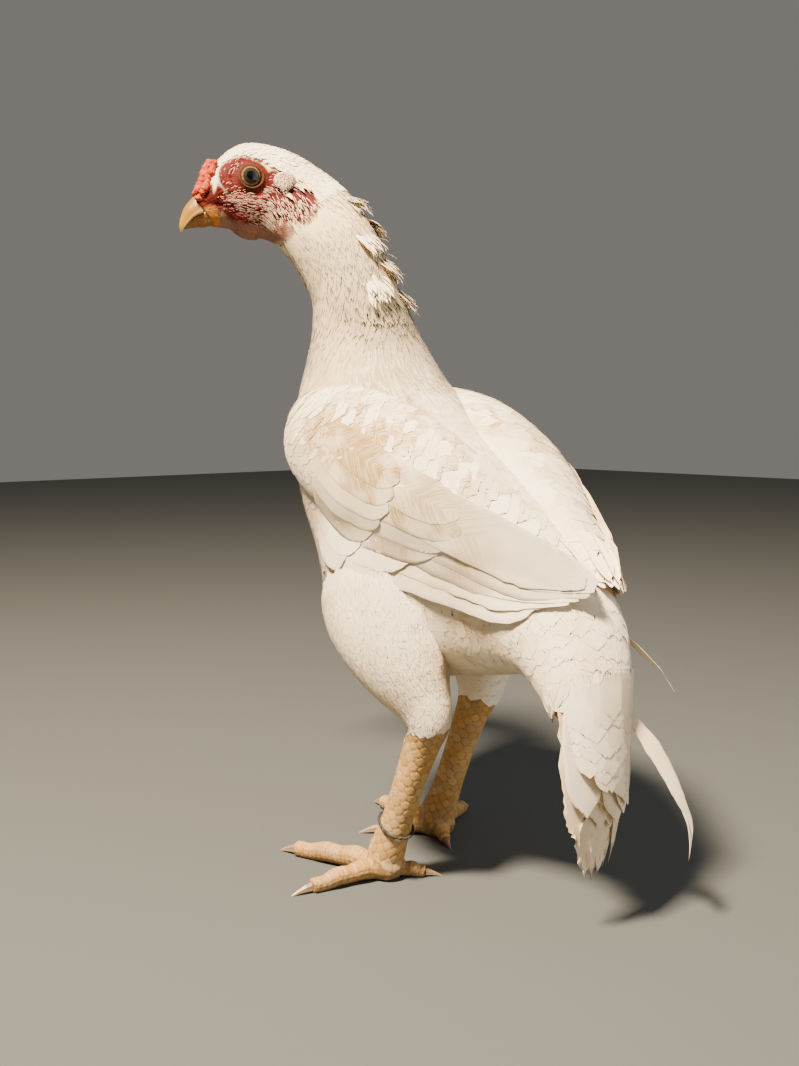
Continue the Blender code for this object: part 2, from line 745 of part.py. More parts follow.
def leg_stations(name, side):
    """A leg's stations in the bird's frame, its foot a step behind or ahead."""
    foot = LEFT_FOOT_FORWARD if side > 0 else RIGHT_FOOT_FORWARD
    middle = (LEFT_FOOT_FORWARD + RIGHT_FOOT_FORWARD) / 2
    hip, hock = LEG[0][2], LEG[THIGH_ENDS][2]
    found = []
    for out, forward, up, broad, deep in LEG:
        share = min(1.0, max(0.0, (hip - up) / (hip - hock)))
        share = HIP_STEP + (1 - HIP_STEP) * share
        step = middle + (foot - middle) * share
        lean = BODY_LEFT * (up - LEG[-1][2]) / (hip - LEG[-1][2])
        found.append((lean + side * out, -(forward + step), up, broad, deep))
    return found


def make_legs():
    """Thighs and shanks: one run of rings for each leg, parted at the hock."""
    for name, side in SIDES:
        rings, along = limb_rings(leg_stations(name, side), (side, 0, 0), 2, LIMB_SIDES, 2)
        end = THIGH_ENDS * 2
        upper = rings[: end + 1].copy()
        upper[-1] -= along[end] * (GAP / 2)
        thigh = loft(f"thigh_{name}", upper, WHITE)
        combined(thigh, [loft("trunk", body_rings(NECK_ENDS, len(BODY) - 1, GAP))], "DIFFERENCE")
        largest(thigh, WHITE)
        lower = rings[end:].copy()
        lower[0] += along[end] * (GAP / 2)
        lower[-1] -= along[-1] * (GAP / 2)
        loft(f"shank_{name}", lower, SCALE)


def make_foot(name, side):
    """A foot: its ankle and four toes in one piece with a flat sole, and its claws."""
    foot_forward = LEFT_FOOT_FORWARD if side > 0 else RIGHT_FOOT_FORWARD
    origin = np.array([side * STANCE / 2, -foot_forward, 0.0])
    rings, along = limb_rings(leg_stations(name, side), (side, 0, 0), 2, LIMB_SIDES, 2)
    ankle_end, down = rings[-1], along[-1]
    middle = ankle_end.mean(0)
    ankle = [ankle_end + down * (GAP / 2)]
    for share, scale in ((0.35, 1.12), (0.7, 1.1), (1.0, 0.8)):
        centre = middle * (1 - share) + (origin + (0, 0, -0.001)) * share
        flat = (ankle_end - middle) * scale
        flat[:, 2] *= 1 - share
        ankle.append(centre + flat)
    foot = loft(f"foot_{name}", ankle, SCALE)
    toes = []
    for toe, angle, length, thick, arch in TOES[name]:
        turn = math.radians(angle)
        ahead = np.array([side * math.sin(turn), -math.cos(turn), 0.0])
        claw = HALLUX_CLAW if toe == "hallux" else CLAW
        end = length - claw
        stations = []
        for share, size in ((0.0, 1.0), (0.3, 0.92), (0.55, 0.86), (0.8, 0.78), (1.0, 0.66)):
            radius = thick * size
            height = radius - 0.0006 + arch * math.sin(math.pi * min(1.0, share * 1.15)) * 0.6
            place = origin + ahead * (end * share)
            stations.append((*(place[:2]), height, radius, radius))
        across = (-ahead[1], ahead[0], 0)
        tube, run = limb_rings(stations, across, 1, TOE_SIDES)
        toes.append(loft("toe", tube))
        make_claw(f"claw_{toe}_{name}", tube[-1], run[-1], ahead, claw)
    combined(foot, toes)
    cut_flat(foot, Vector((0, 0, 0)), Vector((0, 0, -1)))
    largest(foot, SCALE)


def make_claw(name, end_ring, run, ahead, length):
    """A claw that starts at its toe's end and curves down until its tip rests on the floor."""
    start = end_ring.mean(0)
    base = np.linalg.norm(end_ring - start, axis=1).min() * 0.8
    across = np.array([-ahead[1], ahead[0], 0.0])
    turns = (np.arange(CLAW_SIDES) + 0.5) * 2 * math.pi / CLAW_SIDES
    rings = []
    for share in (-0.15, 0.3, 0.68, 1.0):
        size = base * (1 - 0.82 * max(0.0, share))
        centre = start + ahead * (length * share)
        centre[2] = start[2] + (size - CLAW_FLAT - start[2]) * max(0.0, share) ** 0.8
        rings.append(
            [centre + size * (math.cos(a) * across * 0.8 + math.sin(a) * UPWARD) for a in turns]
        )
    claw = loft(name, rings, HORN)
    cut_flat(claw, Vector(start + run * GAP), Vector(-run))
    cut_flat(claw, Vector((0, 0, 0)), Vector((0, 0, -1)))
    largest(claw, HORN)


def stand_on_box_middle():
    """Hangs every piece on one empty, so that the box's middle stands over the origin."""
    middle = bpy.data.objects.new("box_middle", None)
    middle.location = (-BOX_MIDDLE_LEFT, BOX_MIDDLE_FORWARD, 0.0)
    for piece in list(BIRD.objects):
        piece.parent = middle
    BIRD.objects.link(middle)


clear_scene()
BIRD = bpy.data.collections.new("aseel_fowl")
bpy.context.scene.collection.children.link(BIRD)
WHITE = material("white_feather", (0.86, 0.82, 0.74), 0.75)
FLESH = material("red_flesh", (0.55, 0.10, 0.08), 0.5)
HORN = material("yellow_horn", (0.80, 0.60, 0.25), 0.4)
SCALE = material("yellow_scale", (0.72, 0.48, 0.22), 0.6)
EYE = material("eye", (0.10, 0.06, 0.03), 0.1)
CORD = material("dark_cord", (0.05, 0.04, 0.04), 0.6)
MERGE = 1e-6
SIDES = (("left", 1), ("right", -1))
HEAD_AHEAD = np.array([math.sin(HEAD_YAW), -math.cos(HEAD_YAW), 0.0])
HEAD_LEFT = np.array([math.cos(HEAD_YAW), math.sin(HEAD_YAW), 0.0])
UPWARD = np.array([0.0, 0.0, 1.0])
HEAD_AXES = (HEAD_AHEAD, HEAD_LEFT, UPWARD)

make_head()
make_eyes()
make_beak()
make_comb()
make_ears()
make_neck()
make_torso()
make_tail()
make_wings()
make_legs()
make_leg_ring()
for foot_name, foot_side in SIDES:
    make_foot(foot_name, foot_side)
stand_on_box_middle()
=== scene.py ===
"""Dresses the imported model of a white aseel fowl.

Lengths are metres. The bird faces -Y and its left side is +X. Shapes are worked out in the
frame of the feet, as the solids were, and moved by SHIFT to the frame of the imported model.
"""

import math
from functools import lru_cache

import bpy
import numpy as np
from mathutils import Matrix, Vector


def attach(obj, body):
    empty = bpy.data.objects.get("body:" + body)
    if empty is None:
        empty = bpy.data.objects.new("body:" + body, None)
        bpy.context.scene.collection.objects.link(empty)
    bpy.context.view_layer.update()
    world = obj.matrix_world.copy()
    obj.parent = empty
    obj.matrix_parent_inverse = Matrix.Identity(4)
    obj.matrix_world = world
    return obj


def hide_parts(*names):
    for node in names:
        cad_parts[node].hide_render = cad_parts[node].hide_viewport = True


bl_info = {
    "name": "Aseel Fowl",
    "version": (1, 0, 0),
    "blender": (4, 5, 0),
    "location": "View3D > Sidebar > Aseel Fowl",
    "description": "Skin, plumage, scaly legs, comb, beak and eyes of a white aseel fowl",
    "category": "Object",
}

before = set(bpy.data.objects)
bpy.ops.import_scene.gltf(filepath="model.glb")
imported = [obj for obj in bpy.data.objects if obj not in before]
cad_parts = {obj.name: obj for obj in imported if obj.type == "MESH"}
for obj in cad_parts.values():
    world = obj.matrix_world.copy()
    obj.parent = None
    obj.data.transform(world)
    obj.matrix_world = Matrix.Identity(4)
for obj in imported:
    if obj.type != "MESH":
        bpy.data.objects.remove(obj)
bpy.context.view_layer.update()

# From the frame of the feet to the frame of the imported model
SHIFT = np.array([-0.0028, -0.0248, 0.0])
BODY_LEFT = -0.0087
STANCE = 0.072
SIDES = (("left", 1), ("right", -1))
FOOT_FORWARD = {1: -0.0205, -1: 0.0095}

# Stations from the face to the tail root: the middle's place forward, left and up, the turn
# to the left in degrees, half the breadth, and the height over and under the middle
BODY = (
    (0.1285, 0.0632, 0.4100, 66, 0.0078, 0.0092, 0.0100),
    (0.1236, 0.0523, 0.4190, 66, 0.0155, 0.0190, 0.0200),
    (0.1175, 0.0386, 0.4210, 66, 0.0200, 0.0325, 0.0262),
    (0.1082, 0.0243, 0.4203, 62, 0.0216, 0.0325, 0.0275),
    (0.0987, 0.0148, 0.4113, 52, 0.0222, 0.0340, 0.0235),
    (0.0842, 0.0083, 0.3981, 40, 0.0232, 0.0345, 0.0225),
    (0.0677, 0.0033, 0.3818, 28, 0.0248, 0.0315, 0.0255),
    (0.0557, -0.0017, 0.3602, 16, 0.0262, 0.0291, 0.0266),
    (0.0517, -0.0057, 0.3361, 6, 0.0310, 0.0350, 0.0318),
    (0.0495, -0.0087, 0.3156, 0, 0.0400, 0.0395, 0.0389),
    (0.0397, -0.0087, 0.2851, 0, 0.0550, 0.0430, 0.0500),
    (0.0177, -0.0087, 0.2545, 0, 0.0660, 0.0480, 0.0700),
    (-0.0163, -0.0087, 0.2240, 0, 0.0670, 0.0500, 0.0880),
    (-0.0603, -0.0087, 0.1955, 0, 0.0590, 0.0480, 0.0820),
    (-0.0973, -0.0087, 0.1741, 0, 0.0460, 0.0400, 0.0560),
    (-0.1263, -0.0057, 0.1538, 0, 0.0370, 0.0300, 0.0300),
    (-0.1403, -0.0027, 0.1324, 0, 0.0300, 0.0220, 0.0200),
)
BODY_ROWS = 3

# Stations of the hanging tail: forward, left, up, half breadth, half depth
TAIL = (
    (-0.1413, -0.0057, 0.1395, 0.0300, 0.0190),
    (-0.1493, -0.0027, 0.1120, 0.0240, 0.0120),
    (-0.1553, -0.0007, 0.0845, 0.0190, 0.0080),
    (-0.1573, -0.0007, 0.0560, 0.0160, 0.0060),
    (-0.1553, -0.0007, 0.0275, 0.0110, 0.0040),
)
# Stations of a folded wing: forward, out from the body's middle, up, half breadth, half height
WING = (
    (0.0627, 0.0440, 0.2678, 0.0080, 0.0120),
    (0.0497, 0.0440, 0.2657, 0.0230, 0.0290),
    (0.0247, 0.0430, 0.2596, 0.0330, 0.0390),
    (-0.0103, 0.0400, 0.2454, 0.0390, 0.0450),
    (-0.0503, 0.0340, 0.2281, 0.0380, 0.0400),
    (-0.0903, 0.0225, 0.2036, 0.0280, 0.0330),
    (-0.1253, 0.0135, 0.1843, 0.0160, 0.0235),
    (-0.1463, 0.0100, 0.1752, 0.0085, 0.0125),
    (-0.1563, 0.0090, 0.1715, 0.0050, 0.0050),
)
# Stations of a leg from hip to ankle: out, forward of the foot, up, half breadth, half depth
LEG = (
    (0.0430, -0.0003, 0.1863, 0.0200, 0.0300),
    (0.0480, -0.0074, 0.1662, 0.0250, 0.0370),
    (0.0485, -0.0166, 0.1462, 0.0235, 0.0330),
    (0.0450, -0.0247, 0.1262, 0.0180, 0.0240),
    (0.0400, -0.0310, 0.1123, 0.0138, 0.0170),
    (0.0372, -0.0336, 0.1014, 0.0122, 0.0140),
    (0.0360, -0.0283, 0.0885, 0.0098, 0.0115),
    (0.0360, -0.0179, 0.0610, 0.0086, 0.0098),
    (0.0360, -0.0084, 0.0345, 0.0088, 0.0100),
    (0.0360, -0.0010, 0.0160, 0.0105, 0.0120),
)
HIP_STEP = 0.25
THIGH_END = 5
# Toes: the angle outward from straight ahead, the length, half the thickness, the arch
TOES = {
    "left": (
        ("middle", 17, 0.0790, 0.0068, 0.0030),
        ("outer", 77, 0.0620, 0.0062, 0.0030),
        ("inner", -36, 0.0540, 0.0062, 0.0030),
        ("hallux", -132, 0.0340, 0.0052, 0.0020),
    ),
    "right": (
        ("middle", 7, 0.0760, 0.0068, 0.0030),
        ("outer", 66, 0.0600, 0.0062, 0.0030),
        ("inner", -47, 0.0520, 0.0062, 0.0030),
        ("hallux", -154, 0.0290, 0.0052, 0.0020),
    ),
}
# How far apart the plates on top of a toe are
TOE_PLATE = 0.0030
CLAW = 0.0130
HALLUX_CLAW = 0.0100
# The comb's bulbs: ahead, up, radius
COMB = (
    (0.0268, 0.0008, 0.0034),
    (0.0242, 0.0058, 0.0040),
    (0.0218, 0.0112, 0.0042),
    (0.0200, 0.0160, 0.0038),
    (0.0180, 0.0202, 0.0028),
)
COMB_ROW = 0.0046
# Its lobes over a nostril: ahead, out, up, radius
COMB_LOBES = ((0.0250, 0.0062, -0.0036, 0.0034), (0.0218, 0.0072, -0.0044, 0.0030))
# Voxels that fuse the comb and the legs
COMB_VOXEL = 0.00045
LEG_VOXEL = 0.0009
# The beak: the mouth line ahead and up, half breadth and height over the line and under it
BEAK = (
    (0.0215, -0.0118, 0.0078, 0.0125, 0.0068, 0.0085),
    (0.0250, -0.0131, 0.0074, 0.0120, 0.0062, 0.0082),
    (0.0290, -0.0150, 0.0062, 0.0092, 0.0050, 0.0070),
    (0.0325, -0.0180, 0.0046, 0.0064, 0.0034, 0.0048),
    (0.0355, -0.0217, 0.0029, 0.0037, 0.0012, 0.0014),
    (0.0373, -0.0250, 0.0007, 0.0007, 0.0000, 0.0000),
)
# Where the lower half runs on into the chin
JAW = (0.0125, -0.0108, 0.0000, 0.0000, 0.0074, 0.0098)
MOUTH_GAP = 0.0003
# Its halves: side of the mouth line, column of the half breadth, where its rings end, and
# how narrow its root is
BEAK_HALVES = (("upper", 1, 2, 51, 0.72), ("lower", -1, 4, 52, 0.85))
HEAD_MIDDLE = np.array([0.0413, -0.1187, 0.4205])
HEAD_YAW = math.radians(66)
HEAD_AHEAD = np.array([math.sin(HEAD_YAW), -math.cos(HEAD_YAW), 0.0])
HEAD_LEFT = np.array([math.cos(HEAD_YAW), math.sin(HEAD_YAW), 0.0])
UPWARD = np.array([0.0, 0.0, 1.0])
EYE_PLACE = (-0.0052, 0.0142, 0.0095)
EAR_ROW = 10.6
EAR_TURN = math.radians(72)
EAR_RADIUS = 0.0063
EAR_DEPTH = 0.0034
# How far a coat's shading follows the form under it rather than its own vanes
SOFTNESS = 0.72
# How a vane's steps crowd towards its tip, the share of its breadth where its ragged edge
# starts, the share run where its tip rounds off, and how late its edge frays
CROWDING = 1.5
RAGGED_EDGE = 0.6
TIP_START = 0.45
FRAY = 6
# Side of a vane's own patch on the unwrap, and each form's island there: left, low, wide, tall
VANE_PATCH = 0.003
ISLANDS = {
    "body": (0.01, 0.44, 0.98, 0.55),
    "wing_left": (0.01, 0.23, 0.23, 0.19),
    "wing_right": (0.26, 0.23, 0.23, 0.19),
    "thigh_left": (0.51, 0.23, 0.23, 0.19),
    "thigh_right": (0.76, 0.23, 0.23, 0.19),
    "ear_left": (0.26, 0.01, 0.12, 0.20),
    "ear_right": (0.39, 0.01, 0.12, 0.20),
    "tail": (0.01, 0.01, 0.23, 0.20),
}
# Breadth of a loose barb, and how fast feathers past the trunk's end sink
BARB = 0.00045
BODY_TUCK = 0.36
# The most triangles a coat piece may have
COAT_LIMIT = 198000

# A vane's outline: the share run from root to tip, and the share of its breadth there
OVAL = ((0, 0.35), (0.25, 0.85), (0.6, 1.0), (0.85, 0.92), (1, 0.55))
ROUNDED = ((0, 0.35), (0.15, 0.75), (0.4, 1.0), (0.75, 1.0), (0.88, 0.86), (0.96, 0.58), (1, 0.22))
POINTED = ((0, 0.4), (0.25, 0.9), (0.5, 1.0), (0.8, 0.6), (1, 0.08))
STRAND = ((0, 1.0), (0.5, 0.8), (1, 0.15))
SICKLE = ((0, 0.5), (0.25, 1.0), (0.5, 0.80), (0.75, 0.50), (0.92, 0.30), (1, 0.06))
WISP = ((0, 0.6), (0.3, 1.0), (0.6, 0.6), (1, 0.06))

# The upper and lower margins of a wing's long feathers, back and up, from root to tip, and
# the turns that the two margins stand for
UPPER_MARGIN = (
    (-0.020, 0.2900),
    (0.004, 0.2800),
    (0.028, 0.2680),
    (0.052, 0.2545),
    (0.076, 0.2405),
    (0.100, 0.2250),
    (0.122, 0.2100),
    (0.143, 0.1965),
    (0.162, 0.1850),
)
LOWER_MARGIN = (
    (-0.040, 0.2180),
    (-0.022, 0.2020),
    (0.000, 0.1915),
    (0.026, 0.1890),
    (0.053, 0.1885),
    (0.076, 0.1870),
    (0.098, 0.1820),
    (0.118, 0.1775),
    (0.138, 0.1755),
)
MARGIN_TURNS = (math.radians(10), math.radians(130))
# How far back a wing's small coverts reach, by degrees from the lobe's top, and how far
# their tips lift
COVERT_REACH = ((15, 38, 62, 75), (11.5, 9.6, 8.2, 6.0))
COVERT_TIPS = ((-60, 20, 50, 80, 120), (0.0005, 0.0026, 0.0033, 0.0022, 0.0008))
# Feathers over the back: root's row, turn in degrees, tip's row, tip's lift
TERTIALS = (
    (8.0, -48, 13.4, 0.0002),
    (7.6, -26, 13.7, 0.0004),
    (7.2, -4, 14.0, 0.0006),
    (6.8, 16, 14.2, 0.0008),
)
# A wing's tiers of long feathers: how many, first and last turn in degrees, roots' rows and
# tips' rows at both ends, how far the middle tips reach beyond them, breadth as a share of a
# flight feather's, lift, seed
WING_TIERS = (
    (5, 118, 129, 7.6, 9.0, 14.0, 14.6, 0.0, 0.50, -0.0006, 91),
    (5, 38, 116, 5.0, 6.6, 15.5, 15.4, 0.2, 1.60, 0.0000, 92),
    (2, 40, 56, 5.0, 5.6, 15.0, 15.5, 0.0, 1.60, 0.0006, 94),
    (6, 26, 120, 3.4, 4.0, 9.6, 7.6, 1.0, 1.25, 0.0006, 93),
    (7, 24, 116, 2.0, 2.2, 7.0, 5.2, 0.6, 1.05, 0.0010, 95),
)
# How much higher a tier's first feather lies than its last
SHINGLE = 0.0007
QUILL_THICK = 0.00012
# The tail's tiers: how many, first and last turn, roots' row, tips' row, how much sooner the
# outermost end, breadth as a share of a tail feather's, lift, raggedness, seed
TAIL_TIERS = (
    (10, -1.28, 1.45, 0.6, 7.6, 0.6, 0.72, -0.0060, 0.13, 102),
    (4, -0.95, 1.10, 0.6, 6.0, 0.7, 1.25, -0.0034, 0.012, 103),
    (3, -0.90, 0.05, 0.5, 5.55, 0.3, 1.50, -0.0012, 0.010, 104),
    (3, -0.60, 0.45, 0.3, 4.1, 0.2, 1.35, 0.0002, 0.010, 106),
)
TAIL_THICK = 0.0002
# The raggedness beyond which a tier's tips are worn to unlike lengths
WORN = 0.1
# How fast the bed of the long feathers sinks beside the forms under it, how much faster it
# does so at the tips, and how far it lies off them
SHEET_SAG = 60.0
TIP_SAG = 1.6
SHEET_LIFT = 0.0014
# How wide the crease between thigh and trunk is filled, how far inside a form a place still
# counts as inside, and how much more the thigh's side of it is filled
CREASE = 0.040
CREASE_REACH = 0.03
THIGH_FILL = 1.2
# How much smaller a wing's lobe is than its outline, for the depth of its coat
WING_COAT = 0.0030

# Parts of the bare face on the side of the head: the oval's middle ahead and up, its radii,
# its tilt in degrees, and the shares of its radii between which it fades
BARE_EYE = ((-0.0008, 0.0095), (0.0166, 0.0142), 0, 0.90, 1.04)
BARE_CHEEK = ((-0.0120, -0.0095), (0.0300, 0.0112), 6, 0.85, 1.08)
BARE_LINK = ((-0.0200, 0.0070), (0.0095, 0.0080), 20, 0.80, 1.10)
BARE_REAR = ((-0.0340, -0.0075), (0.0100, 0.0150), 0, 0.82, 1.08)
BARE_FRONT = ((0.0200, -0.0050), (0.0110, 0.0110), 0, 0.80, 1.10)
FEATHERED_STRIP = ((0.0168, 0.0105), (0.0017, 0.0120), 6, 0.7, 1.1)
STRIP_INNER = 0.004
THROAT = ((-0.0020, -0.0228), (0.0320, 0.0092), 8, 0.75, 1.12)
DARK_REAR = ((-0.0390, -0.0080), (0.0085, 0.0140), 0, 0.55, 1.15)
DARK_CHEEK = ((-0.0240, -0.0140), (0.0220, 0.0080), 6, 0.50, 1.20)
DARK_SOCKET = (EYE_PLACE[::2], (0.0100, 0.0098), 0, 0.75, 1.20)
GAPE = ((0.0200, -0.0145), (0.0062, 0.0062), -10, 0.7, 1.15)
UNDER_LID = ((0.0035, -0.0036), (0.0110, 0.0026), -4, 0.6, 1.2)
# The nostril's patch, painted dark as the shade of its opening
NOSTRIL = ((0.0262, -0.0084), (0.0026, 0.0008), 6, 0.6, 1.1)
# Rows between which the bare face and the throat end
FACE_ENDS = (15.2, 17.0)
THROAT_ENDS = (14.5, 17.0)

# Folds of the head: the height of each, its oval's middle ahead and up, its radii, its tilt
FOLDS = (
    (0.0010, (0.0148, 0.0095), (0.0030, 0.0100), 8),
    (0.0014, (-0.0180, -0.0110), (0.0150, 0.0060), 8),
    (-0.0014, (0.0130, -0.0085), (0.0050, 0.0012), 12),
    (-0.0010, (0.0060, -0.0030), (0.0100, 0.0022), -10),
)
CHINS = (
    (0.0034, (0.0120, -0.0200), (0.0120, 0.0060), 0),
    (0.0022, (-0.0100, -0.0270), (0.0200, 0.0080), 12),
)
# Tufts that stand off the nape: the row and turn of each one's middle, and vanes in each
TUFTS = ((16.0, 0.15), (17.6, -0.35), (19.0, 0.30), (20.4, -0.10), (21.6, 0.45), (22.4, -0.45))
TUFT_VANES = 34
# The slope of the back, and how far the dust reaches along and across it
BACK_HEIGHT, BACK_PLACE, BACK_SLOPE = 0.258, 0.020, 0.45
DUST_MIDDLE, DUST_LENGTH, DUST_HEIGHT = 0.040, 0.062, 0.036
# Brown spots: their places and reach
SPOTS = (
    (0.0283, 0.1020, 0.2100, 0.0016),
    (0.0260, 0.1170, 0.1880, 0.0022),
    (-0.0330, 0.1010, 0.2270, 0.0030),
)
SPOT_STRENGTH = 1.6

# The camera in the frame of the feet: its place, its turn from +Y and its pitch in degrees,
# and its focal length in pixels of the photograph, which is 1066 tall
CAMERA_PLACE = (0.4797, 0.5259, 0.28)
CAMERA_TURN = 138
CAMERA_PITCH = 6
CAMERA_FOCUS = 1150
PHOTO_TALL = 1066
ROOM_COLOUR = (0.88, 0.83, 0.77, 1.0)
# What the lights point at, and each light: its name, colour and size, and how far it stands
# from there to the camera's right, along its look, and up
LIT_PLACE = np.array([0.0, 0.0, 0.24])
LIGHTS = (
    ("key", (1.0, 0.83, 0.61), 0.24, -0.55, -0.66, 1.42),
    ("fill", (0.92, 0.96, 1.0), 1.10, 1.20, -0.60, 0.35),
)


def unit(vectors):
    """The same directions at length one."""
    vectors = np.asarray(vectors, float)
    return vectors / np.maximum(np.linalg.norm(vectors, axis=-1, keepdims=True), 1e-12)


def through(values, rows):
    """Rows on a smooth curve through the given ones: the cubic of Catmull and Rom."""
    given = np.asarray(values, float)
    ends = np.vstack([2 * given[0] - given[1], given, 2 * given[-1] - given[-2]])
    share = (np.arange(rows) / rows)[None, :, None]
    before, start, end, after = (ends[k : len(ends) - 3 + k, None, :] for k in range(4))
    found = 0.5 * (
        2 * start
        + (end - before) * share
        + (2 * before - 5 * start + 4 * end - after) * share**2
        + (3 * start - before - 3 * end + after) * share**3
    )
    return np.vstack([found.reshape(-1, given.shape[1]), given[-1:]])


def tangents(middles, smoothings):
    """The direction along a row of points, evened out so that its turns are shared."""
    along = np.gradient(middles, axis=0)
    for _ in range(smoothings):
        padded = np.vstack([along[0], along, along[-1]])
        along = (padded[:-2] + 2 * padded[1:-1] + padded[2:]) / 4
    return unit(along)


def smooth(values, low, high):
    """A soft step from 0 at the low value to 1 at the high one."""
    share = np.clip((np.asarray(values, float) - low) / (high - low), 0, 1)
    return share * share * (3 - 2 * share)


def ripple(places, size, seed, octaves=3):
    """Soft noise about 0: sines along random directions, each octave finer and weaker."""
    draw = np.random.default_rng(seed)
    total = np.zeros(places.shape[:-1])
    for octave in range(octaves):
        ways = unit(draw.normal(size=(7, 3))) * (2 * math.pi / size * 1.9**octave)
        phases = draw.uniform(0, 2 * math.pi, 7)
        total += np.sin(places @ ways.T + phases).sum(-1) / 7 / 1.6**octave
    return total


def between(grid, along, down):
    """The value of a grid at any place, between the nearest four of its own."""
    along = np.clip(along, 0, len(grid) - 1.001)
    i, j = along.astype(int), down.astype(int)
    s, t = along - i, down - j
    if grid.ndim > 2:
        s, t = s[..., None], t[..., None]
    start = grid[i, j] * (1 - t) + grid[i, j + 1] * t
    end = grid[i + 1, j] * (1 - t) + grid[i + 1, j + 1] * t
    return start * (1 - s) + end * s


class Form:
    """A run of rounded sections, each an ellipse with unlike heights over and under."""

    FINE = 6
    margins = (-10.0, 10.0)

    def __init__(self, middles, side, up, sizes):
        self.table = through(np.hstack([middles, side, up, sizes]), self.FINE)
        self.rows = len(middles) - 1
        self.fill = None

    def frame(self, row):
        """The section's middle, directions and half sizes at any rows."""
        place = np.clip(np.asarray(row, float) * self.FINE, 0, len(self.table) - 1.001)
        low = place.astype(int)
        share = (place - low)[..., None]
        found = self.table[low] * (1 - share) + self.table[low + 1] * share
        return found[..., :3], unit(found[..., 3:6]), unit(found[..., 6:9]), found[..., 9:]

    def at(self, row, turn, lift=0.0):
        """Places at a turn from the top of the section, lifted off it, and how they face.

        place = middle + sin(turn) * half breadth * side + cos(turn) * height * up
        """
        row, turn = np.broadcast_arrays(np.asarray(row, float), np.asarray(turn, float))
        middle, side, up, sizes = self.frame(row)
        sine, cosine = np.sin(turn)[..., None], np.cos(turn)[..., None]
        broad = sizes[..., 0:1]
        high = np.where(cosine > 0, sizes[..., 1:2], sizes[..., 2:3])
        place = middle + sine * broad * side + cosine * high * up
        facing = unit(sine / broad * side + cosine / high * up)
        lift = np.asarray(lift, float) + self.filled(row, turn)
        return place + lift[..., None] * facing, facing

    def filled(self, row, turn):
        """How much the form stands out where a crease is filled, between the nearest four of
        its grid of half rows and turns."""
        if self.fill is None:
            return 0.0
        around = np.mod(turn + math.pi, 2 * math.pi) / (2 * math.pi)
        return between(self.fill, 2 * row, around * (self.fill.shape[1] - 1.001))

    def steps(self, row, turn):
        """Metres to a row and metres to a radian of turn, at given places."""
        here = self.at(row, turn)[0]
        beyond = self.at(np.minimum(row + 0.2, self.rows), turn)[0]
        before = self.at(np.maximum(row - 0.2, 0), turn)[0]
        span = np.minimum(row + 0.2, self.rows) - np.maximum(row - 0.2, 0)
        along = np.linalg.norm(beyond - before, axis=-1) / span
        around = np.linalg.norm(self.at(row, turn + 0.05)[0] - here, axis=-1) / 0.05
        return np.maximum(along, 1e-4), np.maximum(around, 1e-4)

    def across(self, row, turn, lift, side, off):
        """Places at distances off along side from row and turn, kept on the form, and how far
        each distance goes on beyond its margins: turn = first turn + off / metres to a radian."""
        step = self.steps(row, turn)[1]
        down = self.at(row, turn + 0.02)[0] - self.at(row, turn)[0]
        sign = np.sign((down * side).sum(-1))
        wanted = turn[..., None] + (sign / step)[..., None] * off
        kept = np.clip(wanted, *self.margins)
        places = self.at(row[..., None], kept, np.broadcast_to(lift[..., None], kept.shape))[0]
        return places, (wanted - kept) * (sign * step)[..., None]


def body_form():
    """The body from face to tail root, its sections square to its course."""
    rows = through(BODY, BODY_ROWS)
    middles = np.column_stack([rows[:, 1], -rows[:, 0], rows[:, 2]])
    along = tangents(middles, 4)
    yaw = np.radians(rows[:, 3])
    left = np.column_stack([np.cos(yaw), np.sin(yaw), np.zeros(len(yaw))])
    up = unit(np.cross(left, along))
    left = unit(np.cross(along, up))
    return Form(middles, left, up, rows[:, 4:])


def lobe_form(stations, across, up_like, smoothings=1):
    """A lobe or limb through stations of x, y, z, half breadth and half height."""
    values = through(stations, 2)
    middles = values[:, :3]
    along = tangents(middles, smoothings)
    across = np.asarray(across, float)
    side = unit(across - (along @ across)[:, None] * along)
    up = np.cross(along, side)
    up = up * np.where(up @ np.asarray(up_like, float) < 0, -1.0, 1.0)[:, None]
    return Form(middles, side, up, values[:, [3, 4, 4]])


def wing_form(side, drawn_in):
    """A folded wing's lobe on one side, made smaller by a given depth of coat."""
    stations = [
        (BODY_LEFT + side * out, -forward, up, broad - drawn_in, high - drawn_in)
        for forward, out, up, broad, high in WING
    ]
    return lobe_form(stations, (side, 0, 0), UPWARD)


def tail_form():
    """The tail's course, its sections flat: across the bird and fore and aft."""
    stations = [(left, -forward, up, broad, deep) for forward, left, up, broad, deep in TAIL]
    return lobe_form(stations, (1, 0, 0), (0, 1, 0))


def leg_form(side):
    """A leg from hip to ankle, its foot a step behind or ahead.

    Forward = the station's + middle of the feet + step * (share at the hip + the rest * share
    of the way down to the hock). The legs lean from the body's middle to the feet's.
    """
    middle = sum(FOOT_FORWARD.values()) / 2
    hip, hock, ankle = LEG[0][2], LEG[THIGH_END][2], LEG[-1][2]
    stations = []
    for out, forward, up, broad, deep in LEG:
        share = HIP_STEP + (1 - HIP_STEP) * min(1.0, max(0.0, (hip - up) / (hip - hock)))
        step = middle + (FOOT_FORWARD[side] - middle) * share
        lean = BODY_LEFT * (up - ankle) / (hip - ankle)
        stations.append((lean + side * out, -(forward + step), up, broad, deep))
    return lobe_form(stations, (side, 0, 0), (0, -1, 0), 2)


def foot_middle(side):
    """The place on the floor where a foot's toes meet."""
    return np.array([side * STANCE / 2, -FOOT_FORWARD[side], 0.0])


def on_head(ahead, left, up):
    """A place given ahead, left and up of the head's middle."""
    ahead, left, up = (np.asarray(v, float)[..., None] for v in (ahead, left, up))
    return HEAD_MIDDLE + ahead * HEAD_AHEAD + left * HEAD_LEFT + up * UPWARD


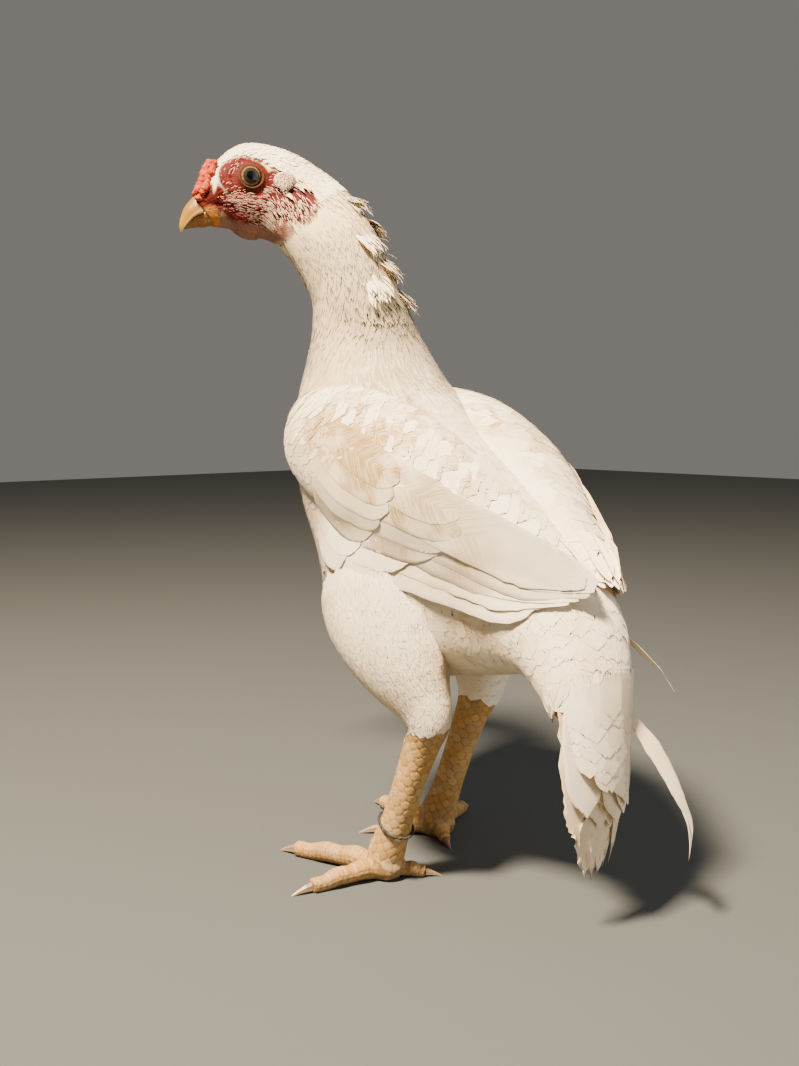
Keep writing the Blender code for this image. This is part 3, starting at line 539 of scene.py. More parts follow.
def head_place(places):
    """How far places lie ahead, left and up of the head's middle."""
    away = places - HEAD_MIDDLE
    return away @ HEAD_AHEAD, away @ HEAD_LEFT, away @ UPWARD


def oval(ahead, up, middle, radii, tilt=0.0):
    """Distance from an oval's middle on the side of the head, as a share of its radii."""
    cosine, sine = math.cos(math.radians(tilt)), math.sin(math.radians(tilt))
    a, u = ahead - middle[0], up - middle[1]
    return np.hypot((a * cosine + u * sine) / radii[0], (-a * sine + u * cosine) / radii[1])


def patch(ahead, up, middle, radii, tilt, inner, outer):
    """1 inside an oval on the side of the head, 0 outside, soft between two shares of it."""
    return 1 - smooth(oval(ahead, up, middle, radii, tilt), inner, outer)


def fold(ahead, up, height, middle, radii, tilt):
    """A soft rise on the side of the head: height * e^(-oval^2)."""
    return height * np.exp(-(oval(ahead, up, middle, radii, tilt) ** 2))


def from_eye(ahead, up):
    """Distance from the eye's middle, seen from the side."""
    return np.hypot(ahead - EYE_PLACE[0], up - EYE_PLACE[2])


def bareness(places, rows):
    """1 on the bare red face, 0 in the plumage: ovals round the eye and along the cheek."""
    ahead, left, up = head_place(places)
    front = patch(ahead, up, *BARE_FRONT)
    rest = [patch(ahead, up, *part) for part in (BARE_EYE, BARE_CHEEK, BARE_LINK, BARE_REAR)]
    bare = np.where(np.abs(left) > STRIP_INNER, np.maximum.reduce([*rest, front]), front)
    return bare * (1 - patch(ahead, up, *FEATHERED_STRIP)) * (1 - smooth(rows, *FACE_ENDS))


def throat(places, rows):
    """1 on the pink skin under the jaw, 0 elsewhere."""
    ahead, _, up = head_place(places)
    return patch(ahead, up, *THROAT) * (1 - smooth(rows, *THROAT_ENDS))


def staining(places):
    """How dusty the plumage is: blotches on the shoulders and upper back, and brown spots.

    shoulder = e^(-((y - middle) / length)^2 - (level / height)^2), faded at the back's middle,
    where level = z - the back's height + slope * (y - its place). A spot adds
    strength * e^(-(distance / reach)^2).
    """
    x, y, z = places[..., 0], places[..., 1], places[..., 2]
    level = z - BACK_HEIGHT + BACK_SLOPE * (y - BACK_PLACE)
    shoulder = np.exp(-(((y - DUST_MIDDLE) / DUST_LENGTH) ** 2) - (level / DUST_HEIGHT) ** 2)
    shoulder = shoulder * smooth(np.abs(x - BODY_LEFT), 0.008, 0.024)
    blotch = smooth(ripple(places, 0.034, 5, 3), -0.30, 0.20)
    trace = 0.14 * smooth(ripple(places, 0.075, 9, 2), 0.0, 0.7) * smooth(z, 0.06, 0.14)
    found = shoulder * (0.45 + 0.85 * blotch) + trace
    for px, py, pz, reach in SPOTS:
        away = (x - px) ** 2 + (y - py) ** 2 + (z - pz) ** 2
        found = found + SPOT_STRENGTH * np.exp(-away / reach**2)
    return np.clip(found, 0, 1)


def crimson(places):
    """1 where the bare skin is darkest: the cheek's rear half and behind the ear."""
    ahead, _, up = head_place(places)
    parts = ((1.0, DARK_REAR), (0.8, DARK_CHEEK), (0.45, DARK_SOCKET))
    return np.maximum.reduce([share * patch(ahead, up, *part) for share, part in parts])


def softened(mesh, facing):
    """Shades a coat partly by the form under it: normal = share * form + (1 - share) * own."""
    own = np.empty(len(mesh.vertices) * 3, np.float32)
    mesh.vertex_normals.foreach_get("vector", own)
    blend = unit(SOFTNESS * facing + (1 - SOFTNESS) * own.reshape(-1, 3))
    mesh.normals_split_custom_set_from_vertices(blend.tolist())


def mark(mesh, title, values):
    """Writes an attribute with a number for each vertex."""
    made = mesh.attributes.new(title, "FLOAT", "POINT")
    made.data.foreach_set("value", np.ascontiguousarray(values, np.float32))


def only(keep, *arrays):
    """The kept entries of each array."""
    return tuple(values[keep] for values in arrays)


def covered(form, rows, turns, length):
    """The larger bareness of each feather's root and of its tip, which must not hide the face."""
    tips = np.minimum(rows + 0.8 * length / form.steps(rows, turns)[0], form.rows)
    ends = (bareness(form.at(end, turns)[0], end) for end in (rows, tips))
    return np.maximum(*ends)


def number_property(name, description, default, unit="LENGTH", least=0.0005):
    """A number that a user may change, a length unless another unit is given."""
    return bpy.props.FloatProperty(
        name=name, description=description, default=default, min=least, unit=unit
    )


class Sheet:
    """The bed of a folded wing's long feathers, drawn over the wing and the trunk beside it.

    Row runs back to the tips and turn down from the upper margin to the lower one. How far
    out = the most that any point i of wing and trunk gives by out_i - sag * distance_i^2,
    the distance seen from the side and sag = first sag * (1 + tip sag * share along^2).
    """

    def __init__(self, side, body, wing):
        sweep = np.linspace(-math.pi, math.pi, 90)
        near = [
            form.at(np.linspace(first, form.rows, 70)[:, None], sweep)[0].reshape(-1, 3)
            for form, first in ((body, 24), (wing, 0))
        ]
        near = np.concatenate(near)
        out = side * (near[:, 0] - BODY_LEFT)
        upper, lower = through(UPPER_MARGIN, 4)[:, None], through(LOWER_MARGIN, 4)[:, None]
        share = np.linspace(0, 1, 25)[:, None]
        plane = upper * (1 - share) + lower * share
        far = np.empty(plane.shape[:2])
        for k, line in enumerate(plane):
            away = ((line[:, None] - near[None, :, 1:]) ** 2).sum(-1)
            sag = SHEET_SAG * (1 + TIP_SAG * (k / len(plane)) ** 2)
            far[k] = (out - sag * away).max(-1)
        left = BODY_LEFT + side * (far + SHEET_LIFT)
        self.places = np.concatenate([left[..., None], plane], -1)
        along, down = np.gradient(self.places, axis=0), np.gradient(self.places, axis=1)
        self.facings = unit(np.cross(down, along) * side)
        self.rows, self.margins = 16, MARGIN_TURNS

    def at(self, row, turn, lift=0.0):
        """place = the bed's at row and turn, between its nearest four, + lift * facing."""
        row, turn = np.broadcast_arrays(np.asarray(row, float), np.asarray(turn, float))
        tall, wide = self.places.shape[:2]
        first, last = self.margins
        down = np.clip((turn - first) / (last - first), 0, 1) * (wide - 1.001)
        along = np.clip(row / self.rows, 0, 1) * (tall - 1.001)
        place = between(self.places, along, down)
        facing = unit(between(self.facings, along, down))
        return place + np.asarray(lift, float)[..., None] * facing, facing

    steps, across = Form.steps, Form.across


def fill_crease(form, other, first):
    """Lifts a form's coat where it meets another form, so that no crease shows there:
    lift = crease / 4 * (1 - distance / crease)^2, and a quarter of the crease inside it."""
    sweep = np.linspace(-math.pi, math.pi, 73)
    rows = np.linspace(0, other.rows, 60)
    near, ways = (v.reshape(-1, 3) for v in other.at(rows[:, None], sweep[::2]))
    fill = np.zeros((2 * form.rows + 1, len(sweep)))
    for k in range(2 * first, len(fill)):
        places = form.at(k / 2, sweep)[0]
        away = places[:, None] - near[None]
        distance = np.linalg.norm(away, axis=-1)
        nearest = distance.argmin(-1)
        each = np.arange(len(sweep))
        outside = (away[each, nearest] * ways[nearest]).sum(-1) > 0
        outside |= distance[each, nearest] > CREASE_REACH
        outside |= nearest < 2 * len(sweep[::2])
        found = np.where(outside, distance[each, nearest], 0.0)
        fill[k] = CREASE / 4 * np.clip(1 - found / CREASE, 0, 1) ** 2
    return fill


def mesh_piece(name, points, faces, finish, replaces=(), layers=None, attributes=None, facing=None):
    """One object from arrays: its mesh, its UV maps and its attributes, riding on the root.

    points is (count, 3); faces is (count, 3 or 4) or a list of such arrays; layers maps a UV
    map's name to a place for each point; attributes maps a name to a value for each point;
    facing is the way the form under a coat faces at each point.
    """
    faces = faces if isinstance(faces, list) else [faces]
    mesh = bpy.data.meshes.new(name)
    points = np.ascontiguousarray(points + SHIFT, dtype=np.float32)
    corners = np.concatenate([f.ravel() for f in faces]).astype(np.int32)
    totals = np.concatenate([np.full(len(f), f.shape[1]) for f in faces])
    starts = np.concatenate([[0], np.cumsum(totals)[:-1]])
    mesh.vertices.add(len(points))
    mesh.vertices.foreach_set("co", points.ravel())
    mesh.loops.add(len(corners))
    mesh.loops.foreach_set("vertex_index", corners)
    mesh.polygons.add(len(totals))
    mesh.polygons.foreach_set("loop_start", starts.astype(np.int32))
    mesh.polygons.foreach_set("loop_total", totals.astype(np.int32))
    mesh.update(calc_edges=True)
    for layer, values in (layers or {}).items():
        uv = mesh.uv_layers.new(name=layer)
        uv.data.foreach_set("uv", np.ascontiguousarray(values[corners], np.float32).ravel())
    for title, values in (attributes or {}).items():
        mark(mesh, title, values)
    mesh.shade_smooth()
    mesh.validate()
    if facing is not None:
        softened(mesh, facing)
    piece = bpy.data.objects.new(name, mesh)
    bpy.context.scene.collection.objects.link(piece)
    mesh.materials.append(finish)
    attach(piece, "root")
    if replaces:
        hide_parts(*replaces)
    return piece


def joined(parts):
    """Several (points, faces, layers, attributes) as one, the faces renumbered."""
    points, faces, start = [], [], 0
    for part in parts:
        for block in part[1]:
            faces.append(block + start)
        points.append(part[0])
        start += len(part[0])
    layers = {k: np.concatenate([p[2][k] for p in parts]) for k in parts[0][2]}
    attributes = {k: np.concatenate([p[3][k] for p in parts]) for k in parts[0][3]}
    return np.concatenate(points), faces, layers, attributes


def grid_faces(rows, columns, closed):
    """Quads between neighbours of a grid, whose columns run round when it is closed."""
    wide = columns if closed else columns - 1
    row, column = np.indices((rows - 1, wide)).reshape(2, -1)
    here, after = row * columns + column, row * columns + (column + 1) % columns
    return np.column_stack([here, after, after + columns, here + columns])


def tube(rings):
    """Points and outward faces of a closed tube over rings, with a point at each end."""
    rings = np.asarray(rings, float)
    count, columns = rings.shape[:2]
    points = np.vstack([rings.reshape(-1, 3), rings[0].mean(0), rings[-1].mean(0)])
    sides = grid_faces(count, columns, True)
    around = np.arange(columns)
    after = (around + 1) % columns
    first, last = count * columns, count * columns + 1
    start = np.column_stack([np.full(columns, first), after, around])
    end = np.column_stack([np.full(columns, last), around, after])
    end[:, 1:] += (count - 1) * columns
    corners = points[sides[:, :3]]
    normal = np.cross(corners[:, 1] - corners[:, 0], corners[:, 2] - corners[:, 0])
    centre = rings.mean(1)[sides[:, 0] // columns]
    if np.sum(normal * (corners[:, 0] - centre)) < 0:
        sides, start, end = sides[:, ::-1], start[:, ::-1], end[:, ::-1]
    return points, [sides, start, end]


def island(form, row, turn):
    """A place on the unwrap: turn round the form across it, and row along it upward."""
    left, low, wide, tall = form.island
    around = np.mod(np.asarray(turn, float) + math.pi, 2 * math.pi) / (2 * math.pi)
    along = np.asarray(row, float) / form.rows
    return np.stack([left + wide * around, low + tall * np.clip(along, 0, 1)], -1)


def staggered(form, first, last, along, around, seed, jitter=0.25):
    """Rows and turns of roots in staggered rings, a given spacing along and around apart.

    The two spacings are tables of (row, metres), read between their entries.
    """
    draw = np.random.default_rng(seed)
    along, around = np.atleast_2d(along), np.atleast_2d(around)
    found_rows, found_turns = [], []
    row, ring = first, 0
    sweep = np.linspace(-math.pi, math.pi, 97)
    while row < last:
        places = form.at(row, sweep)[0]
        lengths = np.concatenate([[0], np.cumsum(np.linalg.norm(np.diff(places, axis=0), axis=1))])
        count = max(3, int(lengths[-1] / np.interp(row, around[:, 0], around[:, 1])))
        shares = (np.arange(count) + 0.5 * (ring % 2) + draw.uniform(-jitter, jitter, count)) / count
        turns = np.interp(np.mod(shares, 1) * lengths[-1], lengths, sweep)
        step = np.interp(row, along[:, 0], along[:, 1]) / float(form.steps(row, math.pi / 2)[0])
        found_rows.append(row + draw.uniform(-jitter, jitter, count) * step)
        found_turns.append(turns)
        row += step
        ring += 1
    rows = np.clip(np.concatenate(found_rows), 0, form.rows)
    return rows, np.concatenate(found_turns)


def vanes(
    form, rows, turns, length, breadth, lifts, seed, outline, shape, sway=0.0, bend=0.0,
    cup=0.16, roll=0.0, rounding=0.16, ragged=0.05, thick=0.0, cleanness=0.12, tuck=0.0,
    to=None, wrap=False,
):
    """Feathers or locks laid over a form, each a curved vane on a grid of across by along.

    The middle line runs from the root along the form at the angle sway, plus bend times the
    share run, lifted by root + (tip - root) * s + 4 * belly * s * (1 - s). Across it, place =
    line + u * half breadth * side - cup * half breadth * u^2 * facing, and the edges end
    sooner than the shaft by rounding * length * u^2 near the tip, which rounds it. Its steps
    lie at the shares 1 - (1 - t)^crowding for even t. With a thickness the vane is closed: an
    under side and a rim join it. Where the rows and turns of the tips are given, the line runs
    straight to them. Past the form's end it goes on straight, sinking by tuck for each metre.
    A wrapped vane lies on the form across its breadth too: place = form at (turn + u * half
    breadth / metres to a radian), lifted.
    """
    draw = np.random.default_rng(seed)
    count = len(rows)
    across, along = shape
    length, breadth, sway, bend, roll = (
        np.broadcast_to(np.asarray(v, float), count) for v in (length, breadth, sway, bend, roll)
    )
    step_row, step_turn = form.steps(rows, turns)
    share = 1 - (1 - np.linspace(0, 1, along)) ** CROWDING
    if to is not None:
        length = np.abs(to[0] - rows) * step_row
    run = length[:, None] * share
    heading = sway[:, None] + bend[:, None] * share
    at_row = rows[:, None] + run * np.cos(heading) / step_row[:, None]
    at_turn = turns[:, None] + run * np.sin(heading) / step_turn[:, None]
    if to is not None:
        at_row = rows[:, None] + (to[0] - rows)[:, None] * share
        at_turn = turns[:, None] + (to[1] - turns)[:, None] * share
    root, belly, tip = (np.broadcast_to(np.asarray(v, float), count)[:, None] for v in lifts)
    lift = root + (tip - root) * share + 4 * belly * share * (1 - share)
    line, form_facing = form.at(np.clip(at_row, 0, form.rows), at_turn, lift)
    end = np.diff(form.at(np.array([form.rows - 0.3, form.rows]), np.zeros(2))[0], axis=0)
    past = np.maximum(at_row - form.rows, 0) * step_row[:, None]
    shift = past[..., None] * (unit(end) - tuck * form_facing)
    line = line + shift
    way = unit(np.gradient(line, axis=1))
    side = unit(np.cross(way, form_facing))
    facing = np.cross(side, way)
    turned, lean = np.cos(roll)[:, None, None], np.sin(roll)[:, None, None]
    side, facing = turned * side + lean * facing, turned * facing - lean * side
    table = np.asarray(outline, float)
    half = breadth[:, None] / 2 * np.interp(share, table[:, 0], table[:, 1])
    u = np.linspace(-1, 1, across)
    torn = np.abs(u) > RAGGED_EDGE
    wide = u * (1 + ragged * draw.normal(size=(count, along, across)) * torn)
    drop = rounding * length[:, None, None] * u**2 * smooth(share, TIP_START, 1.0)[None, :, None]
    notch = ragged * length[:, None, None] * draw.uniform(0, 1, (count, 1, across))
    drop = drop + notch * (share**FRAY)[None, :, None]
    off = wide * half[..., None]
    if wrap:
        wrapped, beyond = form.across(np.clip(at_row, 0, form.rows), at_turn, lift, side, off)
        body = wrapped + shift[:, :, None] + side[:, :, None] * beyond[..., None]
    else:
        body = line[:, :, None] + side[:, :, None] * off[..., None]
    points = (
        body
        - facing[:, :, None] * (cup * half[..., None] * u**2)[..., None]
        - way[:, :, None] * drop[..., None]
    )
    size = across * along
    starts = (np.arange(count) * size)[:, None, None]
    faces = (grid_faces(along, across, False)[None] + starts).reshape(-1, 4)
    tint = np.broadcast_to(draw.uniform(0, 1, count)[:, None, None], points.shape[:3])
    clean = np.where(draw.uniform(0, 1, count) < cleanness, 0.04, draw.uniform(0.6, 1.2, count))
    stain = np.clip(staining(points) * clean[:, None, None], 0, 1)
    vane_u = np.broadcast_to((u / 2 + 0.5)[None, None], points.shape[:3])
    vane_v = np.broadcast_to(share[None, :, None], points.shape[:3])
    middle = island(form, rows, turns)[:, None, None]
    bake = middle + VANE_PATCH * np.stack([vane_u - 0.5, vane_v - 0.5], -1)
    layers = {"Vane": np.stack([vane_u, vane_v], -1).reshape(-1, 2), "OFBake": bake.reshape(-1, 2)}
    attributes = {"tint": tint.ravel(), "stain": stain.ravel()}
    under_form = np.broadcast_to(form_facing[:, :, None], points.shape).reshape(-1, 3)
    flat = points.reshape(-1, 3)
    if thick <= 0:
        return flat, [faces], layers, attributes, under_form
    under = points - facing[:, :, None] * (thick * (1 - 0.7 * share)[None, :, None, None])
    total = count * size
    edge = np.concatenate(
        [
            np.arange(across - 1),
            (np.arange(along - 1) + 1) * across - 1,
            size - 1 - np.arange(across - 1),
            size - across - np.arange(along - 1) * across,
        ]
    )
    following = np.roll(edge, -1)
    rim = np.column_stack([following, edge, edge, following])[None] + starts
    rim = (rim + np.array([0, 0, total, total])).reshape(-1, 4)
    layers, attributes = (
        {k: np.concatenate([v, v]) for k, v in given.items()} for given in (layers, attributes)
    )
    points = np.concatenate([flat, under.reshape(-1, 3)])
    under_form = np.concatenate([under_form, -under_form])
    return points, [faces, faces[:, ::-1] + total, rim], layers, attributes, under_form


def coat(name, parts, finish, replaces=(), soft=True):
    """One coat piece from several sets of vanes, shaded partly by the form when soft."""
    points, faces, layers, attributes = joined(parts)
    facing = np.concatenate([part[4] for part in parts]) if soft else None
    count = sum(len(block) * (block.shape[1] - 2) for block in faces)
    if count > COAT_LIMIT:
        raise ValueError(f"{name} has {count} triangles")
    piece = mesh_piece(name, points, faces, finish, replaces, layers, attributes, facing)
    return piece


def add(tree, kind, inputs=None, **settings):
    """A node with its settings and its inputs' values or links."""
    node = tree.nodes.new(kind)
    for key, value in settings.items():
        setattr(node, key, value)
    for key, value in (inputs or {}).items():
        socket = node.inputs[key]
        if isinstance(value, bpy.types.NodeSocket):
            tree.links.new(value, socket)
        else:
            socket.default_value = value
    return node


def maths(tree, operation, first, second=0.5, third=0.5, clamp=False):
    """The output of one Math node."""
    inputs = {0: first, 1: second, 2: third}
    return add(tree, "ShaderNodeMath", inputs, operation=operation, use_clamp=clamp).outputs[0]


def mixed(tree, share, first, second, blend="MIX"):
    """The colour of one Mix node. A plain colour is given by its red, green and blue."""
    node = add(tree, "ShaderNodeMix", data_type="RGBA", blend_type=blend)
    for place, value in ((0, share), (6, first), (7, second)):
        if isinstance(value, bpy.types.NodeSocket):
            tree.links.new(value, node.inputs[place])
        else:
            node.inputs[place].default_value = (*value, 1.0) if place else value
    return node.outputs[2]


def painted(tree, shader, colour, *layers):
    """Mixes a colour with others in turn, each by its own share, and feeds the shader."""
    for share, other in layers:
        colour = mixed(tree, share, colour, other)
    tree.links.new(colour, shader.inputs["Base Color"])


def span(tree, value, low, high, first=0.0, last=1.0):
    """A value carried from one range to another, soft at both ends."""
    inputs = {0: value, 1: low, 2: high, 3: first, 4: last}
    node = add(tree, "ShaderNodeMapRange", inputs, interpolation_type="SMOOTHSTEP")
    return node.outputs[0]


def read(tree, name):
    """A float attribute of the piece."""
    return add(tree, "ShaderNodeAttribute", attribute_name=name).outputs["Fac"]


def position(tree):
    """A place in the piece's own frame."""
    return add(tree, "ShaderNodeTexCoord").outputs["Object"]


def noise(tree, where, scale, detail):
    """Soft noise of a given fineness."""
    inputs = {"Vector": where, "Scale": scale, "Detail": detail}
    return add(tree, "ShaderNodeTexNoise", inputs).outputs[0]


def cells(tree, where, scale):
    """Distance from the middles of scattered cells."""
    inputs = {"Vector": where, "Scale": scale}
    return add(tree, "ShaderNodeTexVoronoi", inputs).outputs["Distance"]


def finish_of(name, roughness, specular=0.5, scatter=0.0, reach=(0.003, 0.001, 0.0007)):
    """A new material: itself, its tree and its Principled shader. Light scatters inside it
    by a share and over a reach for red, green and blue."""
    made = bpy.data.materials.new(name)
    made.use_nodes = True
    shader = made.node_tree.nodes["Principled BSDF"]
    shader.inputs["Roughness"].default_value = roughness
    shader.inputs["Specular IOR Level"].default_value = specular
    if scatter:
        shader.inputs["Subsurface Weight"].default_value = scatter
        shader.inputs["Subsurface Radius"].default_value = reach
    return made, made.node_tree, shader


def bumped(tree, shader, height, strength, distance):
    """Feeds a height through a Bump node into the shader's normal."""
    inputs = {"Height": height, "Strength": strength, "Distance": distance}
    bump = add(tree, "ShaderNodeBump", inputs)
    tree.links.new(bump.outputs[0], shader.inputs["Normal"])


def barb_group():
    """Barbs and shaft of a vane: streaks slanted from the shaft to the edges, and a line."""
    group = bpy.data.node_groups.get("barbs")
    if group:
        return group
    group = bpy.data.node_groups.new("barbs", "ShaderNodeTree")
    for title, value in (("Fineness", 60.0), ("Slant", 0.5), ("Shaft", 0.05)):
        socket = group.interface.new_socket(title, in_out="INPUT", socket_type="NodeSocketFloat")
        socket.default_value = value
    for title in ("Streak", "Line", "Along"):
        group.interface.new_socket(title, in_out="OUTPUT", socket_type="NodeSocketFloat")
    given = group.nodes.new("NodeGroupInput")
    uv = add(group, "ShaderNodeUVMap", uv_map="Vane").outputs[0]
    parts = add(group, "ShaderNodeSeparateXYZ", {0: uv})
    off = maths(group, "ABSOLUTE", maths(group, "SUBTRACT", parts.outputs[0], 0.5))
    slanted = maths(group, "MULTIPLY", off, given.outputs["Slant"])
    course = maths(group, "SUBTRACT", parts.outputs[1], slanted)
    course = maths(group, "MULTIPLY", course, given.outputs["Fineness"])
    spread = maths(group, "MULTIPLY", parts.outputs[0], 3.0)
    tint = maths(group, "MULTIPLY", read(group, "tint"), 40.0)
    place = add(group, "ShaderNodeCombineXYZ", {0: course, 1: spread, 2: tint}).outputs[0]
    edge = maths(group, "DIVIDE", off, given.outputs["Shaft"])
    line = span(group, edge, 0.0, 1.0, 1.0, 0.0)
    found = {"Streak": noise(group, place, 1.0, 2.0), "Line": line, "Along": parts.outputs[1]}
    add(group, "NodeGroupOutput", found)
    return group


def plumage_finish(
    name, look, fineness=50.0, slant=0.5, shaft=0.05, relief=0.35, warm=0.0, tone=None
):
    """White feather: barbs, a paler shaft, cream roots, and dust where the coat is stained."""
    made, tree, shader = finish_of(name, 0.78, 0.2)
    given = {"Fineness": fineness, "Slant": slant, "Shaft": shaft}
    barbs = add(tree, "ShaderNodeGroup", node_tree=barb_group())
    for title, value in given.items():
        barbs.inputs[title].default_value = value
    streak, line, along = (barbs.outputs[k] for k in ("Streak", "Line", "Along"))
    creamy = span(tree, noise(tree, position(tree), 24.0, 3.0), 0.42, 0.75)
    creamy = maths(tree, "ADD", creamy, warm)
    creamy = maths(tree, "MULTIPLY_ADD", read(tree, "tint"), 0.18, creamy, clamp=True)
    root = span(tree, along, 0.0, 0.4, 0.3, 0.0)
    creamy = maths(tree, "ADD", creamy, root, clamp=True)
    colour = mixed(tree, creamy, tone or look.feather_colour, look.cream_colour)
    streaked = span(tree, streak, 0.35, 0.65, 0.45, 1.35)
    dusty = maths(tree, "MULTIPLY", read(tree, "stain"), streaked, clamp=True)
    colour = mixed(tree, dusty, colour, look.dust_colour)
    shade = span(tree, streak, 0.25, 0.75, 0.93, 1.02)
    shade = maths(tree, "MULTIPLY_ADD", line, 0.03, shade)
    shades = add(tree, "ShaderNodeCombineColor", {0: shade, 1: shade, 2: shade}).outputs[0]
    painted(tree, shader, mixed(tree, 1.0, colour, shades, "MULTIPLY"))
    height = maths(tree, "MULTIPLY", streak, span(tree, along, 0.45, 0.9, 1.0, 0.0))
    bumped(tree, shader, height, relief, 0.00010)
    shader.inputs["Sheen Weight"].default_value = 0.10
    shader.inputs["Sheen Roughness"].default_value = 0.5
    return made


def skin_finish(look):
    """Bird skin: cream under the coat, red and pebbled on the face, pink at the throat."""
    made, tree, shader = finish_of("bare_skin", 0.7, 0.15, 0.06)
    where = position(tree)
    pebbles = cells(tree, where, 900.0)
    blotch = noise(tree, where, 160.0, 4.0)
    share = span(tree, blotch, 0.35, 0.65)
    red = mixed(tree, share, look.face_colour, (0.080, 0.006, 0.003))
    red = mixed(tree, read(tree, "crimson"), red, look.cheek_colour)
    pits = span(tree, pebbles, 0.2, 0.75, 0.0, 0.7)
    dark = mixed(tree, pits, red, (0.13, 0.008, 0.006))
    painted(
        tree,
        shader,
        mixed(tree, read(tree, "pink"), look.cream_colour, look.throat_colour),
        (read(tree, "flesh"), dark),
        (read(tree, "gape"), look.gape_colour),
        (read(tree, "lid"), (0.052, 0.016, 0.007)),
    )
    height = maths(tree, "MULTIPLY_ADD", pebbles, -0.8, blotch)
    bumped(tree, shader, height, 0.6, 0.0005)
    return made


def comb_finish(look):
    """Comb flesh: orange-red, fine-grained and slightly moist, with painted shade in the hollows
    where its ripple dips.
    """
    made, tree, shader = finish_of("comb_flesh", 0.5, 0.2, 0.08)
    where = position(tree)
    grain = cells(tree, where, 1100.0)
    blotch = noise(tree, where, 260.0, 3.0)
    share = span(tree, blotch, 0.40, 0.66)
    painted(
        tree,
        shader,
        mixed(tree, share, look.comb_colour, (0.42, 0.085, 0.028)),
        (span(tree, grain, 0.3, 0.8, 0.0, 0.6), (0.34, 0.025, 0.015)),
        # groove: painted shade, darker where the ripple dips
        (read(tree, "groove"), (0.20, 0.010, 0.008)),
    )
    height = maths(tree, "MULTIPLY_ADD", grain, -1.0, blotch)
    bumped(tree, shader, height, 0.6, 0.0005)
    return made


def horn_finish(name, base, tip):
    """Horn: its colour runs to another along the piece, with fine growth lines."""
    made, tree, shader = finish_of(name, 0.32, scatter=0.05, reach=(0.002, 0.0015, 0.0008))
    inputs = {"Vector": position(tree), "Scale": (260.0, 260.0, 900.0)}
    stretched = add(tree, "ShaderNodeMapping", inputs).outputs[0]
    lines = noise(tree, stretched, 1.0, 3.0)
    painted(
        tree,
        shader,
        mixed(tree, read(tree, "tip"), base, tip),
        (span(tree, lines, 0.45, 0.8, 0.0, 0.4), (0.30, 0.11, 0.02)),
        (read(tree, "ridge"), (0.80, 0.52, 0.20)),
        # slit: painted shade of the nostril's opening, a dark mark where no hole is made
        (read(tree, "slit"), (0.06, 0.02, 0.01)),
    )
    bumped(tree, shader, lines, 0.2, 0.0003)
    return made


def claw_finish():
    """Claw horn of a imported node: brown, paler towards the floor, with lines along it."""
    made, tree, shader = finish_of("claw_horn", 0.4)
    where = position(tree)
    height = add(tree, "ShaderNodeSeparateXYZ", {0: where}).outputs[2]
    lines = noise(tree, where, 900.0, 3.0)
    brown = mixed(tree, span(tree, height, 0.001, 0.007), (0.33, 0.22, 0.13), (0.16, 0.09, 0.05))
    painted(tree, shader, brown, (span(tree, lines, 0.4, 0.7), (0.42, 0.29, 0.17)))
    bumped(tree, shader, lines, 0.3, 0.0003)
    return made


def scale_finish(look):
    """Leg scales: dry yellow-orange plates with dusty tops and dark grooves."""
    made, tree, shader = finish_of("leg_scales", 0.68, 0.2)
    where = position(tree)
    dust = noise(tree, where, 90.0, 5.0)
    grain = noise(tree, where, 1400.0, 2.0)
    painted(
        tree,
        shader,
        mixed(tree, read(tree, "tint"), look.leg_colour, (0.58, 0.35, 0.13)),
        (span(tree, dust, 0.42, 0.72, 0.0, 0.6), (0.38, 0.28, 0.17)),
        (read(tree, "groove"), (0.20, 0.11, 0.05)),
    )
    bumped(tree, shader, grain, 0.3, 0.0004)
    return made


def cord_finish():
    """A dull dark cord with the slanted ridges of its twist."""
    made, tree, shader = finish_of("ring_cord", 0.7)
    inputs = {"Vector": position(tree), "Scale": 420.0, "Distortion": 1.5}
    wave = add(tree, "ShaderNodeTexWave", inputs, bands_direction="DIAGONAL").outputs[1]
    painted(tree, shader, mixed(tree, wave, (0.012, 0.010, 0.010), (0.055, 0.045, 0.04)))
    bumped(tree, shader, wave, 0.6, 0.0004)
    return made


def eye_finish(name, side, look):
    """An eyeball: pupil, grey-brown iris, a thin orange ring and a dark rim, by the angle
    between a place on the ball and the way the eye looks."""
    made, tree, shader = finish_of(f"eye_{name}", 0.05, 0.25)
    ahead, out, up = EYE_PLACE
    centre = on_head(ahead, side * out, up) + SHIFT
    gaze = unit(side * HEAD_LEFT + 0.10 * HEAD_AHEAD + 0.02 * UPWARD)
    where = position(tree)
    away = add(tree, "ShaderNodeVectorMath", {0: where, 1: tuple(centre)}, operation="SUBTRACT")
    away = add(tree, "ShaderNodeVectorMath", {0: away.outputs[0]}, operation="NORMALIZE")
    inputs = {0: away.outputs[0], 1: tuple(gaze)}
    cosine = add(tree, "ShaderNodeVectorMath", inputs, operation="DOT_PRODUCT")
    angle = maths(tree, "ARCCOSINE", cosine.outputs["Value"])
    threads = noise(tree, where, 1500.0, 2.0)
    iris = mixed(tree, threads, look.iris_colour, (0.030, 0.024, 0.016))
    ring = mixed(tree, threads, (0.12, 0.060, 0.016), (0.26, 0.15, 0.045))
    painted(
        tree,
        shader,
        mixed(tree, span(tree, angle, 0.32, 0.37), (0.002, 0.002, 0.003), iris),
        (span(tree, angle, 0.63, 0.68), ring),
        (span(tree, angle, 0.74, 0.82), (0.045, 0.018, 0.009)),
    )
    return made


def framed(form, name):
    """The same form with its island on the unwrap."""
    form.island = ISLANDS[name]
    return form


